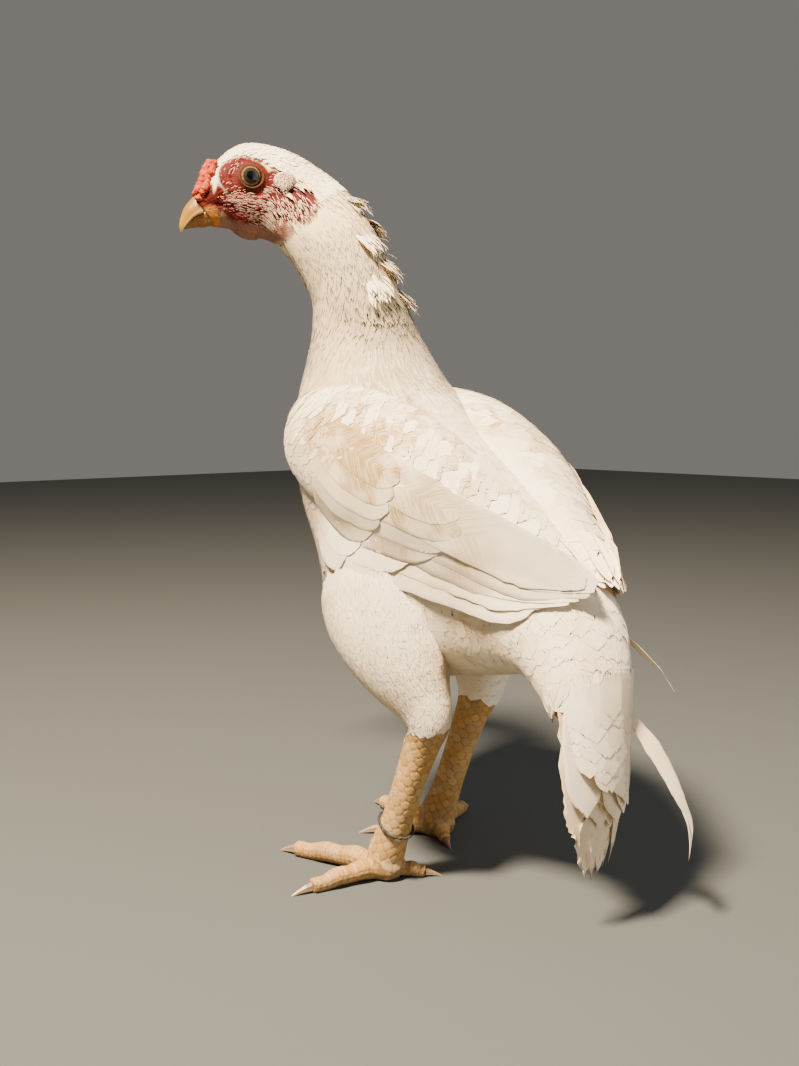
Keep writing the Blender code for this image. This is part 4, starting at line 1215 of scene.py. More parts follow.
@lru_cache(maxsize=1)
def forms():
    """Every form that carries a coat, each with an island of its own on the unwrap."""
    body = framed(body_form(), "body")
    fan = framed(Fan(tail_form()), "tail")
    framed(fan.form, "tail")
    found = {"body": body, "tail": fan}
    fills = []
    for name, side in SIDES:
        wing = framed(wing_form(side, WING_COAT), f"wing_{name}")
        thigh = framed(leg_form(side), f"thigh_{name}")
        fills.append(fill_crease(body, thigh, 24))
        thigh.fill = THIGH_FILL * fill_crease(thigh, body, 0)
        found[f"wing_{name}"], found[f"thigh_{name}"] = wing, thigh
        found[f"ear_{name}"] = framed(ear_form(side), f"ear_{name}")
    body.fill = np.maximum(*fills)
    for name, side in SIDES:
        found[f"sheet_{name}"] = framed(Sheet(side, body, found[f"wing_{name}"]), f"wing_{name}")
    return found


class Fan:
    """The tail as a fan: turn is a share of the half breadth, lift is rearward of the core.

    INSET is how far the vanes' middles stay inside its edges, DEEP the share of its depth at
    which they lie, and SPLAY how much they face outward at its edges.
    """

    INSET = 0.0030
    DEEP = 0.6
    SPLAY = 0.35

    def __init__(self, form):
        self.form, self.rows = form, form.rows

    def at(self, row, turn, lift=0.0):
        """place = middle + turn * (half breadth - inset) * side + (deep * depth + lift) * up"""
        row, turn = np.broadcast_arrays(np.asarray(row, float), np.asarray(turn, float))
        middle, side, up, sizes = self.form.frame(row)
        broad, deep = sizes[..., 0:1] - self.INSET, sizes[..., 1:2]
        away = deep * self.DEEP + np.asarray(lift, float)[..., None]
        facing = unit(up + self.SPLAY * np.clip(turn, -1, 1)[..., None] * side)
        return middle + turn[..., None] * broad * side + away * up, facing

    steps = Form.steps


def ear_form(side):
    """The ear's low cushion as a lobe that runs from its top to its lower edge."""
    middle, facing = body_form().at(EAR_ROW, side * EAR_TURN, -0.0004)
    across = unit(np.cross(UPWARD, facing))
    down = -unit(np.cross(facing, across))
    shares = np.linspace(-0.95, 0.95, 7)
    round_off = np.sqrt(1 - shares**2)
    middles = middle + shares[:, None] * EAR_RADIUS * down
    stations = np.column_stack([middles, EAR_RADIUS * round_off, EAR_DEPTH * round_off])
    return lobe_form(stations, across * side, facing)


def skin_depth(rows):
    """How far the skin lies inside the outline, by row: deeper where the coat is long."""
    depths = [0.0002, 0.0009, 0.0016, 0.0036, 0.0042, 0.0042]
    return np.interp(rows, [0, 5, 12, 20, 28, 48], depths)


def head_relief(places, rows):
    """Height of the head's folds: lids round the eye, its socket, the furrow round the lids,
    each height * e^(-((distance from the eye - radius) / width)^2), then cheek, mouth and chin."""
    ahead, left, up = head_place(places)
    beside = smooth(np.abs(left), 0.006, 0.012) * (1 - smooth(rows, 12, 14))
    away = from_eye(ahead, up)
    low = 1 - 0.25 * smooth(up - EYE_PLACE[2], -0.004, 0.004)
    height = 0.0014 * low * np.exp(-(((away - 0.0073) / 0.0010) ** 2))
    height += -0.0050 * (1 - smooth(away, 0.0050, 0.0066))
    height += -0.0010 * np.exp(-(((away - 0.0118) / 0.0022) ** 2))
    for part in FOLDS:
        height += fold(ahead, up, *part)
    wrinkles = 0.00035 * ripple(places * np.array([1.0, 1.0, 2.2]), 0.0060, 21, 2)
    chin = sum(fold(ahead, up, *part) for part in CHINS)
    return beside * (height + wrinkles * bareness(places, rows)) + chin * (1 - smooth(rows, 13, 16))


def tube_part(form, rows, turns, depth, marks=False):
    """One closed skin over a form: its rings drawn in by the coat's depth, with its marks."""
    grid_rows, grid_turns = np.meshgrid(rows, turns, indexing="ij")
    places, facing = form.at(grid_rows, grid_turns)
    depth = np.broadcast_to(np.asarray(depth, float), grid_rows.shape)
    height = head_relief(places, grid_rows) if marks else 0.0
    rings = places + facing * (height - depth)[..., None]
    points, faces = tube(rings)
    zeros = np.zeros(grid_rows.shape)
    names = ("flesh", "pink", "lid", "crimson", "gape")
    values = dict.fromkeys(names, zeros)
    if marks:
        ahead, left, up = head_place(places)
        lid = 1 - smooth(from_eye(ahead, up), 0.0080, 0.0094)
        lid = lid * (np.abs(left) > 0.006) * (grid_rows < 12)
        gape = patch(ahead, up, *GAPE)
        found = (bareness(places, grid_rows), throat(places, grid_rows), lid, crimson(places), gape)
        values = dict(zip(names, found))
    attributes = {k: np.append(v.ravel(), [v[0].mean(), v[-1].mean()]) for k, v in values.items()}
    bake = island(form, grid_rows, grid_turns).reshape(-1, 2)
    bake = np.vstack([bake, bake[:1], bake[-1:]])
    return points, faces, {"OFBake": bake}, attributes


def make_skin(look):
    """The one skin under the whole coat, in place of every node of flesh."""
    found = forms()
    sweep = np.linspace(0, 2 * math.pi, 220, endpoint=False)
    body = found["body"]
    rows = np.concatenate([np.linspace(0, 13, 110), np.linspace(13.3, 48, 90)])
    parts = [tube_part(body, rows, sweep, skin_depth(rows)[:, None], True)]
    sweep = np.linspace(0, 2 * math.pi, 40, endpoint=False)
    for name, _ in SIDES:
        rows = np.linspace(0, 12, 40)
        depth = np.interp(rows, [0, 9, 12], [0.0016, 0.0030, 0.0060])[:, None]
        parts.append(tube_part(found[f"wing_{name}"], rows, sweep, depth))
        rows = np.linspace(0, THIGH_END * 2, 24)
        parts.append(tube_part(found[f"thigh_{name}"], rows, sweep, 0.0024))
    tail = found["tail"].form
    parts.append(tube_part(tail, np.linspace(0, 4, 14), sweep, 0.0030))
    points, faces, layers, attributes = joined(parts)
    flesh = ["head", "neck", "torso", "wing_left", "wing_right", "tail", "thigh_left", "thigh_right"]
    skin = mesh_piece("skin", points, faces, skin_finish(look), flesh, layers, attributes)


def make_head_coat(look):
    """The head's short feathers and the bristles on the bare face."""
    body = forms()["body"]
    plume = plumage_finish("head_plumage", look, fineness=8.0, relief=0.2)
    along, around = [(0, 0.0012), (14, 0.0018)], [(0, 0.0013), (14, 0.0019)]
    rows, turns = staggered(body, 1.4, 14.5, along, around, 31)
    draw = np.random.default_rng(32)
    size = np.interp(rows, [1.4, 4, 7, 14], [0.40, 0.55, 0.85, 1.65]) * look.head_feather
    size = size * draw.uniform(0.8, 1.2, len(rows))
    places = body.at(rows, turns)[0]
    ahead, left, up = head_place(places)
    bare = covered(body, rows, turns, size) + 0.8 * throat(places, rows)
    keep = draw.uniform(0, 1, len(rows)) > bare * 1.8
    keep &= ~((np.abs(left) < 0.0098) & (ahead > 0.0145) & (up < 0.0265))
    rows, turns, size = only(keep, rows, turns, size)
    sway = np.sign(turns) * 0.12 + draw.normal(0, 0.08, len(rows))
    lifts = (-0.0003, 0.0001, 0.0001 + 0.0002 * draw.uniform(0, 1, len(rows)))
    made = vanes(body, rows, turns, size, size * 0.36, lifts, 33, OVAL, (3, 4), sway, cup=0.1)
    coat("head_feathers", [made], plume)

    bristle = plumage_finish("face_bristles", look, 6.0, relief=0.1, tone=(0.66, 0.42, 0.33))
    along, around = [(0, 0.0008), (15, 0.0010)], [(0, 0.0009), (15, 0.0011)]
    rows, turns = staggered(body, 1.0, 17.0, along, around, 34, 0.45)
    places = body.at(rows, turns)[0]
    ahead, left, up = head_place(places)
    bare = bareness(places, rows)
    away = from_eye(ahead, up)
    cheek = smooth(-up, 0.000, 0.008) * smooth(-ahead, -0.014, 0.000)
    rear = smooth(-ahead, 0.010, 0.018)
    under = patch(ahead, up, *UNDER_LID)
    ring = 1 - smooth(away, 0.0145, 0.0180)
    share = bare * (0.08 + 0.26 * cheek - 0.02 * rear + 0.25 * under + 0.12 * ring)
    keep = (draw.uniform(0, 1, len(rows)) < share) & (np.abs(left) > 0.006)
    keep &= (ahead < 0.0165) & (away > 0.0100)
    rows, turns, ahead, away, under = only(keep, rows, turns, ahead, away, under)
    size = np.interp(ahead, [-0.040, -0.020, 0.000, 0.016], [1.25, 1.15, 0.75, 0.35])
    size = size * look.bristle * draw.uniform(0.7, 1.3, len(rows))
    size = size * (0.45 + 0.55 * smooth(away, 0.0115, 0.0170))
    thin = np.interp(away, [0.010, 0.018], [0.00026, 0.00040])
    sway = np.sign(turns) * (0.18 + 0.22 * draw.normal(0, 1, len(rows)) + 0.3 * under)
    lifts = (-0.0006, 0.0004, 0.0009 * draw.uniform(0.5, 1.3, len(rows)))
    made = vanes(body, rows, turns, size, thin, lifts, 35, STRAND, (3, 4), sway, sway * -0.6, 0.6)
    coat("face_bristles", [made], bristle)


def make_ears(look):
    """The round tufts that hide the ears, of short feathers laid over a low cushion."""
    finish = plumage_finish("ear_tufts", look, fineness=6.0, relief=0.2, tone=(0.76, 0.50, 0.36))
    found = forms()
    parts = []
    for name, _ in SIDES:
        ear = found[f"ear_{name}"]
        rows, turns = staggered(ear, 0.3, ear.rows - 0.3, [(0, 0.0006)], [(0, 0.0007)], 41)
        rows, turns = only(np.cos(turns) > -0.2, rows, turns)
        draw = np.random.default_rng(42)
        size = 0.0026 * draw.uniform(0.7, 1.2, len(rows))
        sway = 0.7 * np.sin(turns) + draw.normal(0, 0.25, len(rows))
        lifts = (-0.0005, 0.0005, 0.0010)
        parts.append(vanes(ear, rows, turns, size, 0.0008, lifts, 43, STRAND, (3, 4), sway))
    coat("ear_tufts", parts, finish, ["ear_left", "ear_right"])


def make_neck_coat(look):
    """The neck's hackles in long narrow locks, and the tufts that stand off the nape."""
    body = forms()["body"]
    # The hackles' darker, browner tone and their extra cream share are partly the neck's dirty cream
    # and partly painted shade, standing for the shadow that the head casts on the neck.
    finish = plumage_finish("hackles", look, 9.0, 0.9, 0.12, 0.3, 0.25, (0.42, 0.35, 0.23))
    draw = np.random.default_rng(51)
    along, around = [(11, 0.0020), (29, 0.0030)], [(11, 0.0021), (29, 0.0032)]
    rows, turns = staggered(body, 11.0, 29.5, along, around, 52)
    places = body.at(rows, turns)[0]
    lock = ripple(places, 0.022, 53, 2)
    long = np.interp(rows, [11, 16, 24, 29], [0.36, 0.66, 0.96, 1.08]) * look.hackle
    long = long * draw.uniform(0.8, 1.2, len(rows))
    broad = np.interp(rows, [11, 20, 29], [0.0022, 0.0033, 0.0050])
    broad = broad * draw.uniform(0.8, 1.2, len(rows))
    sway = 0.22 * lock + draw.normal(0, 0.05, len(rows))
    keep = (bareness(places, rows) < 0.5) & (throat(places, rows) < 0.5)
    rows, turns, long, broad, sway, lock = only(keep, rows, turns, long, broad, sway, lock)
    lifts = (-0.0013, 0.0003, 0.0001 + 0.0004 * draw.uniform(0, 1, len(rows)) + 0.0003 * lock)
    bend = -0.2 * lock
    made = vanes(body, rows, turns, long, broad, lifts, 54, POINTED, (3, 7), sway, bend, 0.08)
    coat("neck_hackles", [made], finish)
    rows = np.concatenate([row + draw.normal(0, 0.22, TUFT_VANES) for row, _ in TUFTS])
    turns = np.concatenate([turn + draw.normal(0, 0.13, TUFT_VANES) for _, turn in TUFTS])
    long = draw.uniform(0.5, 1.0, len(rows)) * look.tuft
    lifts = (-0.0020, 0.0012, draw.uniform(0.0020, 0.0078, len(rows)))
    sway = draw.normal(0, 0.35, len(rows))
    made = vanes(body, rows, turns, long, 0.0032, lifts, 55, POINTED, (3, 7), sway, -sway)
    finish = plumage_finish("tuft_plumage", look, 9.0, 0.9, relief=0.2)
    coat("nape_tufts", [made], finish, soft=False)


def make_body_coat(look):
    """The trunk's rounded feathers in rings, with loose barbs between them."""
    body = forms()["body"]
    finish = plumage_finish("body_plumage", look, 26.0, 0.6, relief=0.25)
    draw = np.random.default_rng(61)
    along = [(26, 0.0042), (31, 0.0058), (48, 0.0062)]
    around = [(26, 0.0052), (31, 0.0074), (48, 0.0078)]
    rows, turns = staggered(body, 26.5, 47.6, along, around, 62)
    dorsal = (1 + np.cos(turns)) / 2
    long = np.interp(rows, [26, 31, 40, 48], [0.66, 0.86, 1.0, 1.0])
    long = long * (1 - 0.40 * smooth(rows, 42, 47) * (1 - dorsal))
    long = long * look.body_feather * draw.uniform(0.80, 1.18, len(rows))
    broad = np.interp(rows, [26, 31, 48], [0.0100, 0.0160, 0.0170])
    broad = broad * draw.uniform(0.9, 1.1, len(rows))
    sway = draw.normal(0, 0.09, len(rows)) + 0.15 * np.sin(turns) * (dorsal > 0.5)
    tip = 0.0003 * draw.uniform(0, 1, len(rows))
    back = np.abs(turns) < 1.75
    for name, keep in (("back_feathers", back), ("breast_feathers", ~back)):
        given = only(keep, rows, turns, long, broad)
        roll = draw.normal(0, 0.012, keep.sum())
        made = vanes(
            body, *given, (-0.0013, 0.0003, tip[keep]), 63, ROUNDED, (9, 8), sway[keep],
            roll=roll, ragged=0.03, cup=0.01, rounding=0.06, tuck=BODY_TUCK, wrap=True,
        )
        coat(name, [made], finish)
    rows, turns = staggered(body, 27.0, 47.8, [(27, 0.0018)], [(27, 0.0022)], 64, 0.5)
    long = draw.uniform(0.008, 0.016, len(rows))
    sway = draw.normal(0, 0.15, len(rows))
    lifts = (-0.0002, 0.0001, 0.0003 + 0.0010 * draw.uniform(0, 1, len(rows)) ** 6)
    thin = (long, BARB, lifts, 65, STRAND, (2, 4), sway, -sway)
    coat("body_barbs", [vanes(body, rows, turns, *thin, tuck=BODY_TUCK)], finish)


def make_thigh_coat(look):
    """The thighs' feathers, shorter towards the hock, where they end in a point."""
    found = forms()
    finish = plumage_finish("thigh_plumage", look, 20.0, 0.7, relief=0.25)
    along, around = [(0, 0.0048), (10, 0.0028)], [(0, 0.0060), (10, 0.0034)]
    parts, loose = [], []
    for name, _ in SIDES:
        leg = found[f"thigh_{name}"]
        draw = np.random.default_rng(71)
        rows, turns = staggered(leg, 0.5, 9.6, along, around, 72)
        rows, turns = only(rows < 9.7 - 1.1 * (1 + np.cos(turns)) / 2, rows, turns)
        long = np.interp(rows, [0, 6, 10], [0.95, 0.72, 0.42]) * look.thigh_feather
        long = long * draw.uniform(0.85, 1.15, len(rows))
        sway = draw.normal(0, 0.10, len(rows))
        lifts = (-0.0006, 0.0001, 0.0001 * draw.uniform(0, 1, len(rows)))
        made = vanes(
            leg, rows, turns, long, long * 0.66, lifts, 73, ROUNDED, (7, 6), sway, ragged=0.03,
            cup=0.01, rounding=0.06, wrap=True,
        )
        parts.append(made)
        rows, turns = staggered(leg, 1.0, 9.6, [(0, 0.0017)], [(0, 0.0019)], 74, 0.5)
        rows, turns = only(rows < 9.6 - 1.0 * (1 + np.cos(turns)) / 2, rows, turns)
        long = draw.uniform(0.005, 0.010, len(rows))
        sway = draw.normal(0, 0.20, len(rows))
        lifts = (-0.0002, 0.0002, 0.0003 + 0.0008 * draw.uniform(0, 1, len(rows)) ** 4)
        loose.append(vanes(leg, rows, turns, long, BARB, lifts, 75, STRAND, (2, 4), sway, -sway))
    coat("thigh_feathers", parts + loose, finish)


def make_wing(look, name, side):
    """One folded wing: rows of small coverts, then the long feathers in their tiers.

    The long feathers lie on their bed, those with their place in the tiers' tables; the four
    over the back lie on the wing itself.
    """
    found = forms()
    wing, sheet = found[f"wing_{name}"], found[f"sheet_{name}"]
    draw = np.random.default_rng(81)
    along, around = [(0, 0.0032), (9, 0.0056)], [(0, 0.0042), (9, 0.0086)]
    rows, turns = staggered(wing, 0.4, 12.0, along, around, 82)
    upper = np.degrees(np.mod(turns + math.pi, 2 * math.pi) - math.pi)
    reach = np.interp(upper, *COVERT_REACH) - 1.6 * draw.uniform(0, 1, len(rows))
    rows, turns = only((rows < reach) & (upper > -82) & (upper < 122), rows, turns)
    long = np.interp(rows, [0, 3, 9], [0.56, 1.0, 1.55]) * look.covert
    long = long * draw.uniform(0.9, 1.15, len(rows))
    broad = np.interp(rows, [0, 3, 9], [0.0078, 0.0125, 0.0180])
    broad = broad * draw.uniform(0.9, 1.1, len(rows))
    tip = np.interp(np.degrees(turns), *COVERT_TIPS)
    lifts = (0.0006, 0.0006, tip + 0.0002 * draw.uniform(0, 1, len(rows)))
    sway = draw.normal(0, 0.06, len(rows)) - 0.06 * np.cos(turns)
    made = vanes(
        wing, rows, turns, long, broad, lifts, 83, ROUNDED, (9, 8), sway, ragged=0.03,
        cup=0.01, rounding=0.08, cleanness=0.25, wrap=True,
    )
    finish = plumage_finish(f"covert_plumage_{name}", look, 34.0, 0.55, relief=0.25)
    coat(f"wing_coverts_{name}", [made], finish)
    roots, turn, tips, lift = (np.array(column) for column in zip(*TERTIALS))
    turn = np.radians(turn)
    made = vanes(
        wing, roots, turn, 0.05, 0.85 * look.quill, (-0.0004, 0.0004, lift), 96, ROUNDED,
        (9, 22), cup=0.02, rounding=0.03, ragged=0.006, thick=QUILL_THICK, to=(tips, turn),
    )
    parts = [made]
    for count, first, last, root_a, root_b, tip_a, tip_b, belly, broad, lift, seed in WING_TIERS:
        share = np.linspace(0, 1, count)
        turn = np.radians(first + (last - first) * share)
        root = root_a + (root_b - root_a) * share
        tips = tip_a + (tip_b - tip_a) * share + 4 * belly * share * (1 - share)
        tips = tips + draw.uniform(-0.12, 0.12, count)
        over = lift + SHINGLE * (1 - share)
        broad = broad * look.quill * draw.uniform(0.96, 1.04, count)
        ends = (tips, turn + np.radians(draw.uniform(-1.2, 1.2, count)))
        made = vanes(
            sheet, root, turn, 0.05, broad, (over - 0.0006, 0.0002, over), seed, ROUNDED,
            (11, 22), roll=side * 0.01, cup=0.0, rounding=0.02, ragged=0.006,
            thick=QUILL_THICK, cleanness=0.3, to=ends, wrap=True,
        )
        parts.append(made)
    finish = plumage_finish(f"flight_feathers_{name}", look, 150.0, 0.28, 0.030, 0.3)
    coat(f"wing_quills_{name}", parts, finish)


def make_tail(look):
    """The hanging tail: its feathers in tiers, its coverts, sickles and frayed tips."""
    found = forms()
    fan = found["tail"]
    draw = np.random.default_rng(101)
    parts = []
    for count, first, last, root, tip, sooner, broad, layer, ragged, seed in TAIL_TIERS:
        share = np.linspace(first, last, count)
        off = 2 * (share - (first + last) / 2) / (last - first)
        under = np.empty(count)
        under[np.argsort(np.abs(off - 0.2))] = layer - 0.0003 * np.arange(count)
        spread = 1 + 20 * ragged if ragged > WORN else 1
        tips = tip - sooner * off**2 + draw.uniform(-0.2, 0.2, count) * spread
        broad = broad * look.tail_feather * draw.uniform(0.93, 1.07, count)
        made = vanes(
            fan, np.full(count, root), share * 0.7, 0.08, broad,
            (under - 0.0010, 0.0002, under + 0.0003), seed, ROUNDED, (9, 24), cup=0.04,
            rounding=0.06, ragged=ragged, thick=TAIL_THICK, roll=-0.05 * np.sign(off),
            to=(tips, share),
        )
        parts.append(made)
    worn = plumage_finish("tail_tips", look, 120.0, 0.30, 0.06, 0.4, 0.75)
    coat("tail_tips", parts[:1], worn, soft=False)
    sickle = vanes(
        fan, np.array([1.6]), np.array([-0.9]), 0.09, 0.0110, (-0.003, 0.004, 0.026), 105,
        SICKLE, (9, 24), thick=TAIL_THICK, cup=0.12, ragged=0.03, roll=-0.5,
        to=(np.array([7.1]), np.array([-3.5])),
    )
    wisp = vanes(
        found["body"], np.array([45.3]), np.array([-1.15]), 0.046, 0.0064,
        (-0.002, 0.001, 0.027), 110, WISP, (5, 18), thick=TAIL_THICK, cup=0.12, ragged=0.02,
        tuck=0.1,
    )
    finish = plumage_finish("tail_plumage", look, 120.0, 0.30, 0.04, 0.3)
    coat("tail_feathers", [*parts[1:], sickle, wisp], finish, soft=False)
    lobe = fan.form
    rows, turns = staggered(lobe, 0.0, 3.4, [(0, 0.0060)], [(0, 0.0074)], 107)
    reach = 2.0 + 1.1 * np.cos(turns + math.radians(45))
    rows, turns = only((rows < reach) & (np.cos(turns) > -0.75), rows, turns)
    long = 0.030 * draw.uniform(0.85, 1.15, len(rows))
    broad = 0.0165 * draw.uniform(0.9, 1.1, len(rows))
    tip = 0.0002 + 0.0002 * draw.uniform(0, 1, len(rows))
    made = vanes(
        lobe, rows, turns, long, broad, (-0.0007, 0.0002, tip), 108, ROUNDED, (9, 8),
        draw.normal(0, 0.07, len(rows)), ragged=0.03, cup=0.01, rounding=0.06, wrap=True,
    )
    finish = plumage_finish("tail_covert_plumage", look, 26.0, 0.6, relief=0.25)
    coat("tail_coverts", [made], finish)


def make_comb(look):
    """The pea comb: five rows of knobs up the forehead and a lobe over each nostril,
    balls fused by a voxel remesh and roughened by a soft ripple."""
    around, levels = np.linspace(0, 2 * math.pi, 16, endpoint=False), np.linspace(-0.96, 0.96, 9)
    turns, heights = np.meshgrid(around, levels)
    ring = np.stack([np.cos(turns), np.sin(turns)], -1) * np.sqrt(1 - heights**2)[..., None]
    sphere = np.concatenate([ring, heights[..., None]], -1)
    axes = np.array([HEAD_AHEAD, HEAD_LEFT, UPWARD])
    draw = np.random.default_rng(111)
    parts = []
    for ahead, up, size in through(COMB, 2):
        middle = on_head(ahead - 0.0022, 0.0, up - 0.0006)
        parts.append((*tube(middle + (sphere * size * np.array([0.95, 1.9, 1.0])) @ axes), {}, {}))
    for offset in (-2.0, -1.0, 0.0, 1.0, 2.0):
        for ahead, up, size in through(COMB, 3):
            ahead, up = ahead - 0.00075 * offset**2, up - 0.0004 * offset**2
            out = offset * COMB_ROW * draw.uniform(0.92, 1.05)
            size = size * draw.uniform(0.55, 0.78)
            middle = on_head(ahead + 0.0012, out, up + draw.uniform(-0.0007, 0.0007))
            parts.append((*tube(middle + sphere * size), {}, {}))
    for side in (1, -1):
        for ahead, out, up, size in COMB_LOBES:
            stretched = (sphere * size * np.array([1.35, 0.8, 0.75])) @ axes
            parts.append((*tube(on_head(ahead, side * out, up) + stretched), {}, {}))
    points, faces, _, _ = joined(parts)
    comb = mesh_piece("comb_flesh", points, faces, comb_finish(look), ["comb"])
    remeshed(comb, COMB_VOXEL, 2)
    places, normals = vertex_arrays(comb)
    height = 0.00030 * ripple(places, 0.0034, 112, 2)
    moved(comb, places + normals * height[:, None])
    # The groove mark is painted shade: the lower the ripple, the darker the flesh there.
    mark(comb.data, "groove", smooth(-height, 0.00008, 0.00035))


def moved(piece, places):
    """Puts a mesh's vertices at new places."""
    piece.data.vertices.foreach_set("co", places.astype(np.float32).ravel())
    piece.data.update()


def vertex_arrays(piece):
    """A mesh's vertex places and normals as arrays."""
    count = len(piece.data.vertices)
    places, normals = np.empty(count * 3, np.float32), np.empty(count * 3, np.float32)
    piece.data.vertices.foreach_get("co", places)
    piece.data.vertex_normals.foreach_get("vector", normals)
    return places.reshape(-1, 3).astype(float), normals.reshape(-1, 3).astype(float)


def remeshed(piece, voxel, smoothings):
    """Fuses a piece's overlapping shells into one skin by voxels of a given size."""
    step = piece.modifiers.new("fuse", "REMESH")
    step.mode = "VOXEL"
    step.voxel_size = voxel
    soft = piece.modifiers.new("soften", "SMOOTH")
    soft.iterations = smoothings
    soft.factor = 0.5
    graph = bpy.context.evaluated_depsgraph_get()
    mesh = bpy.data.meshes.new_from_object(piece.evaluated_get(graph))
    finish = piece.data.materials[0]
    piece.modifiers.clear()
    piece.data = mesh
    mesh.materials.clear()
    mesh.materials.append(finish)
    mesh.shade_smooth()


def make_beak(look):
    """The beak's two halves: arches over and under the mouth line, hooked at the tip.

    place = line + sin(turn) * half breadth * left + cos(turn) * height * up, where the height
    on the mouth's side is next to nothing.
    """
    turns = np.linspace(0, 2 * math.pi, 44, endpoint=False)
    for name, side, column, end, narrow in BEAK_HALVES:
        values = through(BEAK if side > 0 else (JAW, *BEAK), 10)
        line = on_head(values[:, 0], np.zeros(len(values)), values[:, 1])
        up = np.cross(HEAD_LEFT, tangents(line, 1))
        up = up * np.sign(up[:, 2:3])
        middles = (line + side * up * MOUTH_GAP * 0.6)[:end]
        root = narrow + (1 - narrow) * smooth(np.arange(len(middles)), 0, 12)
        broad, high = values[:end, column] * root, values[:end, column + 1] * root
        rise = np.where(np.cos(turns) * side > 0, high[:, None], MOUTH_GAP / 10) * np.cos(turns)
        out = np.sin(turns) * broad[:, None]
        rings = middles[:, None] + out[..., None] * HEAD_LEFT + rise[..., None] * up[:end, None]
        points, faces = tube(rings)
        share = np.repeat(np.linspace(0, 1, len(middles)), len(turns))
        edge = (1 - smooth(np.abs(rise) / high[:, None], 0.04, 0.24)).ravel()
        ahead, left, height = head_place(points)
        marks = {
            "tip": np.append(smooth(share, 0.35, 0.95), [0, 1]),
            "ridge": 0.75 * np.append(edge, [0, 0]) * (side > 0),
            # The nostril's slit is painted shade, standing for its opening.
            "slit": patch(ahead, height, *NOSTRIL) * (side > 0) * (np.abs(left) > 0.003),
        }
        colours = (look.horn_colour, look.tip_colour) if side > 0 else (look.lower_colour,) * 2
        finish = horn_finish(f"beak_horn_{name}", *colours)
        piece = mesh_piece(f"horn_{name}", points, faces, finish, [f"beak_{name}"], None, marks)


def toe_stations(side, toe, angle, length, thick, arch):
    """A toe's stations from the foot's middle to its claw, and the way it points."""
    turn = math.radians(angle)
    ahead = np.array([side * math.sin(turn), -math.cos(turn), 0.0])
    end = length - (HALLUX_CLAW if toe == "hallux" else CLAW)
    shares = np.linspace(0, 1, 13)
    radius = thick * np.interp(shares, [0, 0.3, 0.55, 0.8, 1.0], [1.0, 0.92, 0.86, 0.78, 0.66])
    radius = radius * (1 + 0.07 * np.cos(shares * 3 * 2 * math.pi))
    places = foot_middle(side) + ahead * (end * shares)[:, None]
    places[:, 2] = radius - 0.0006 + arch * np.sin(math.pi * np.minimum(1.0, shares * 1.15)) * 0.6
    return np.column_stack([places, radius, radius]), ahead


def make_leg(look, name, side):
    """One scaly leg and foot: tubes fused by voxels, then raised plates round given centres.

    A plate's height grows with how much nearer a place is to its own centre than to the
    next plate's, so the grooves run where two plates meet.
    """
    leg = leg_form(side)
    turns = np.linspace(0, 2 * math.pi, 28, endpoint=False)
    rows = np.linspace(THIGH_END * 2 - 1.2, leg.rows, 40)[:, None]
    inset = 0.0002 + 0.0030 * smooth(THIGH_END * 2 + 0.4 - rows, 0, 1.4)
    rings = leg.at(rows, turns, -inset)[0]
    end = rings[-1]
    middle = end.mean(0)
    ankle = [end + (middle - end) * 0.02]
    for share, scale in ((0.35, 1.08), (0.7, 1.06), (1.0, 0.8)):
        flat = (end - middle) * scale
        flat[:, 2] *= 1 - share
        ankle.append(middle * (1 - share) + (foot_middle(side) + (0, 0, 0.0006)) * share + flat)
    ankle = through(np.array(ankle).reshape(4, -1), 4).reshape(-1, len(turns), 3)
    parts = [(*tube(rings), {}, {}), (*tube(ankle), {}, {})]
    centres, plates = [], []
    around = 9
    for k, row in enumerate(np.arange(THIGH_END * 2 - 0.5, leg.rows + 0.1, 0.34)):
        turn = (np.arange(around) + 0.5 * (k % 2)) / around * 2 * math.pi
        centres.append(leg.at(np.full(around, row), turn)[0])
        plates.append(np.arange(around) + 100 * k)
    count = 10000
    for toe, angle, length, thick, arch in TOES[name]:
        stations, ahead = toe_stations(side, toe, angle, length, thick, arch)
        form = lobe_form(stations, (-ahead[1], ahead[0], 0), UPWARD)
        parts.append((*tube(form.at(np.linspace(0, form.rows, 40)[:, None], turns)[0]), {}, {}))
        spacing = TOE_PLATE / (length / form.rows)
        for row in np.arange(2.5, form.rows, spacing):
            centres.append(form.at(np.full(6, row), np.radians([-62, -36, -12, 12, 36, 62]))[0])
            plates.append(np.full(6, count))
            count += 1
            turn = np.radians([-150, -115, -88, 88, 115, 150])
            for shift in (0.0, 0.5):
                centres.append(form.at(np.full(6, row + shift * spacing), turn)[0])
                plates.append(count + np.arange(6))
                count += 6
    points, faces, _, _ = joined(parts)
    nodes = [f"shank_{name}", f"foot_{name}"]
    piece = mesh_piece(f"leg_{name}", points, faces, scale_finish(look), nodes)
    remeshed(piece, LEG_VOXEL, 3)
    places, normals = vertex_arrays(piece)
    centres, plates = np.concatenate(centres) + SHIFT, np.concatenate(plates)
    near, next_near, plate = nearest_two(places, centres, plates)
    gap = next_near - near
    places = places + normals * (0.00042 * smooth(gap, 0.0, 0.0011) - 0.00018)[:, None]
    places[:, 2] = np.maximum(places[:, 2], 0.0002)
    moved(piece, places)
    mark(piece.data, "groove", 0.85 * (1 - smooth(gap, 0.0, 0.0007)))
    mark(piece.data, "tint", np.mod(np.sin(plate * 12.9898) * 43758.5453, 1))


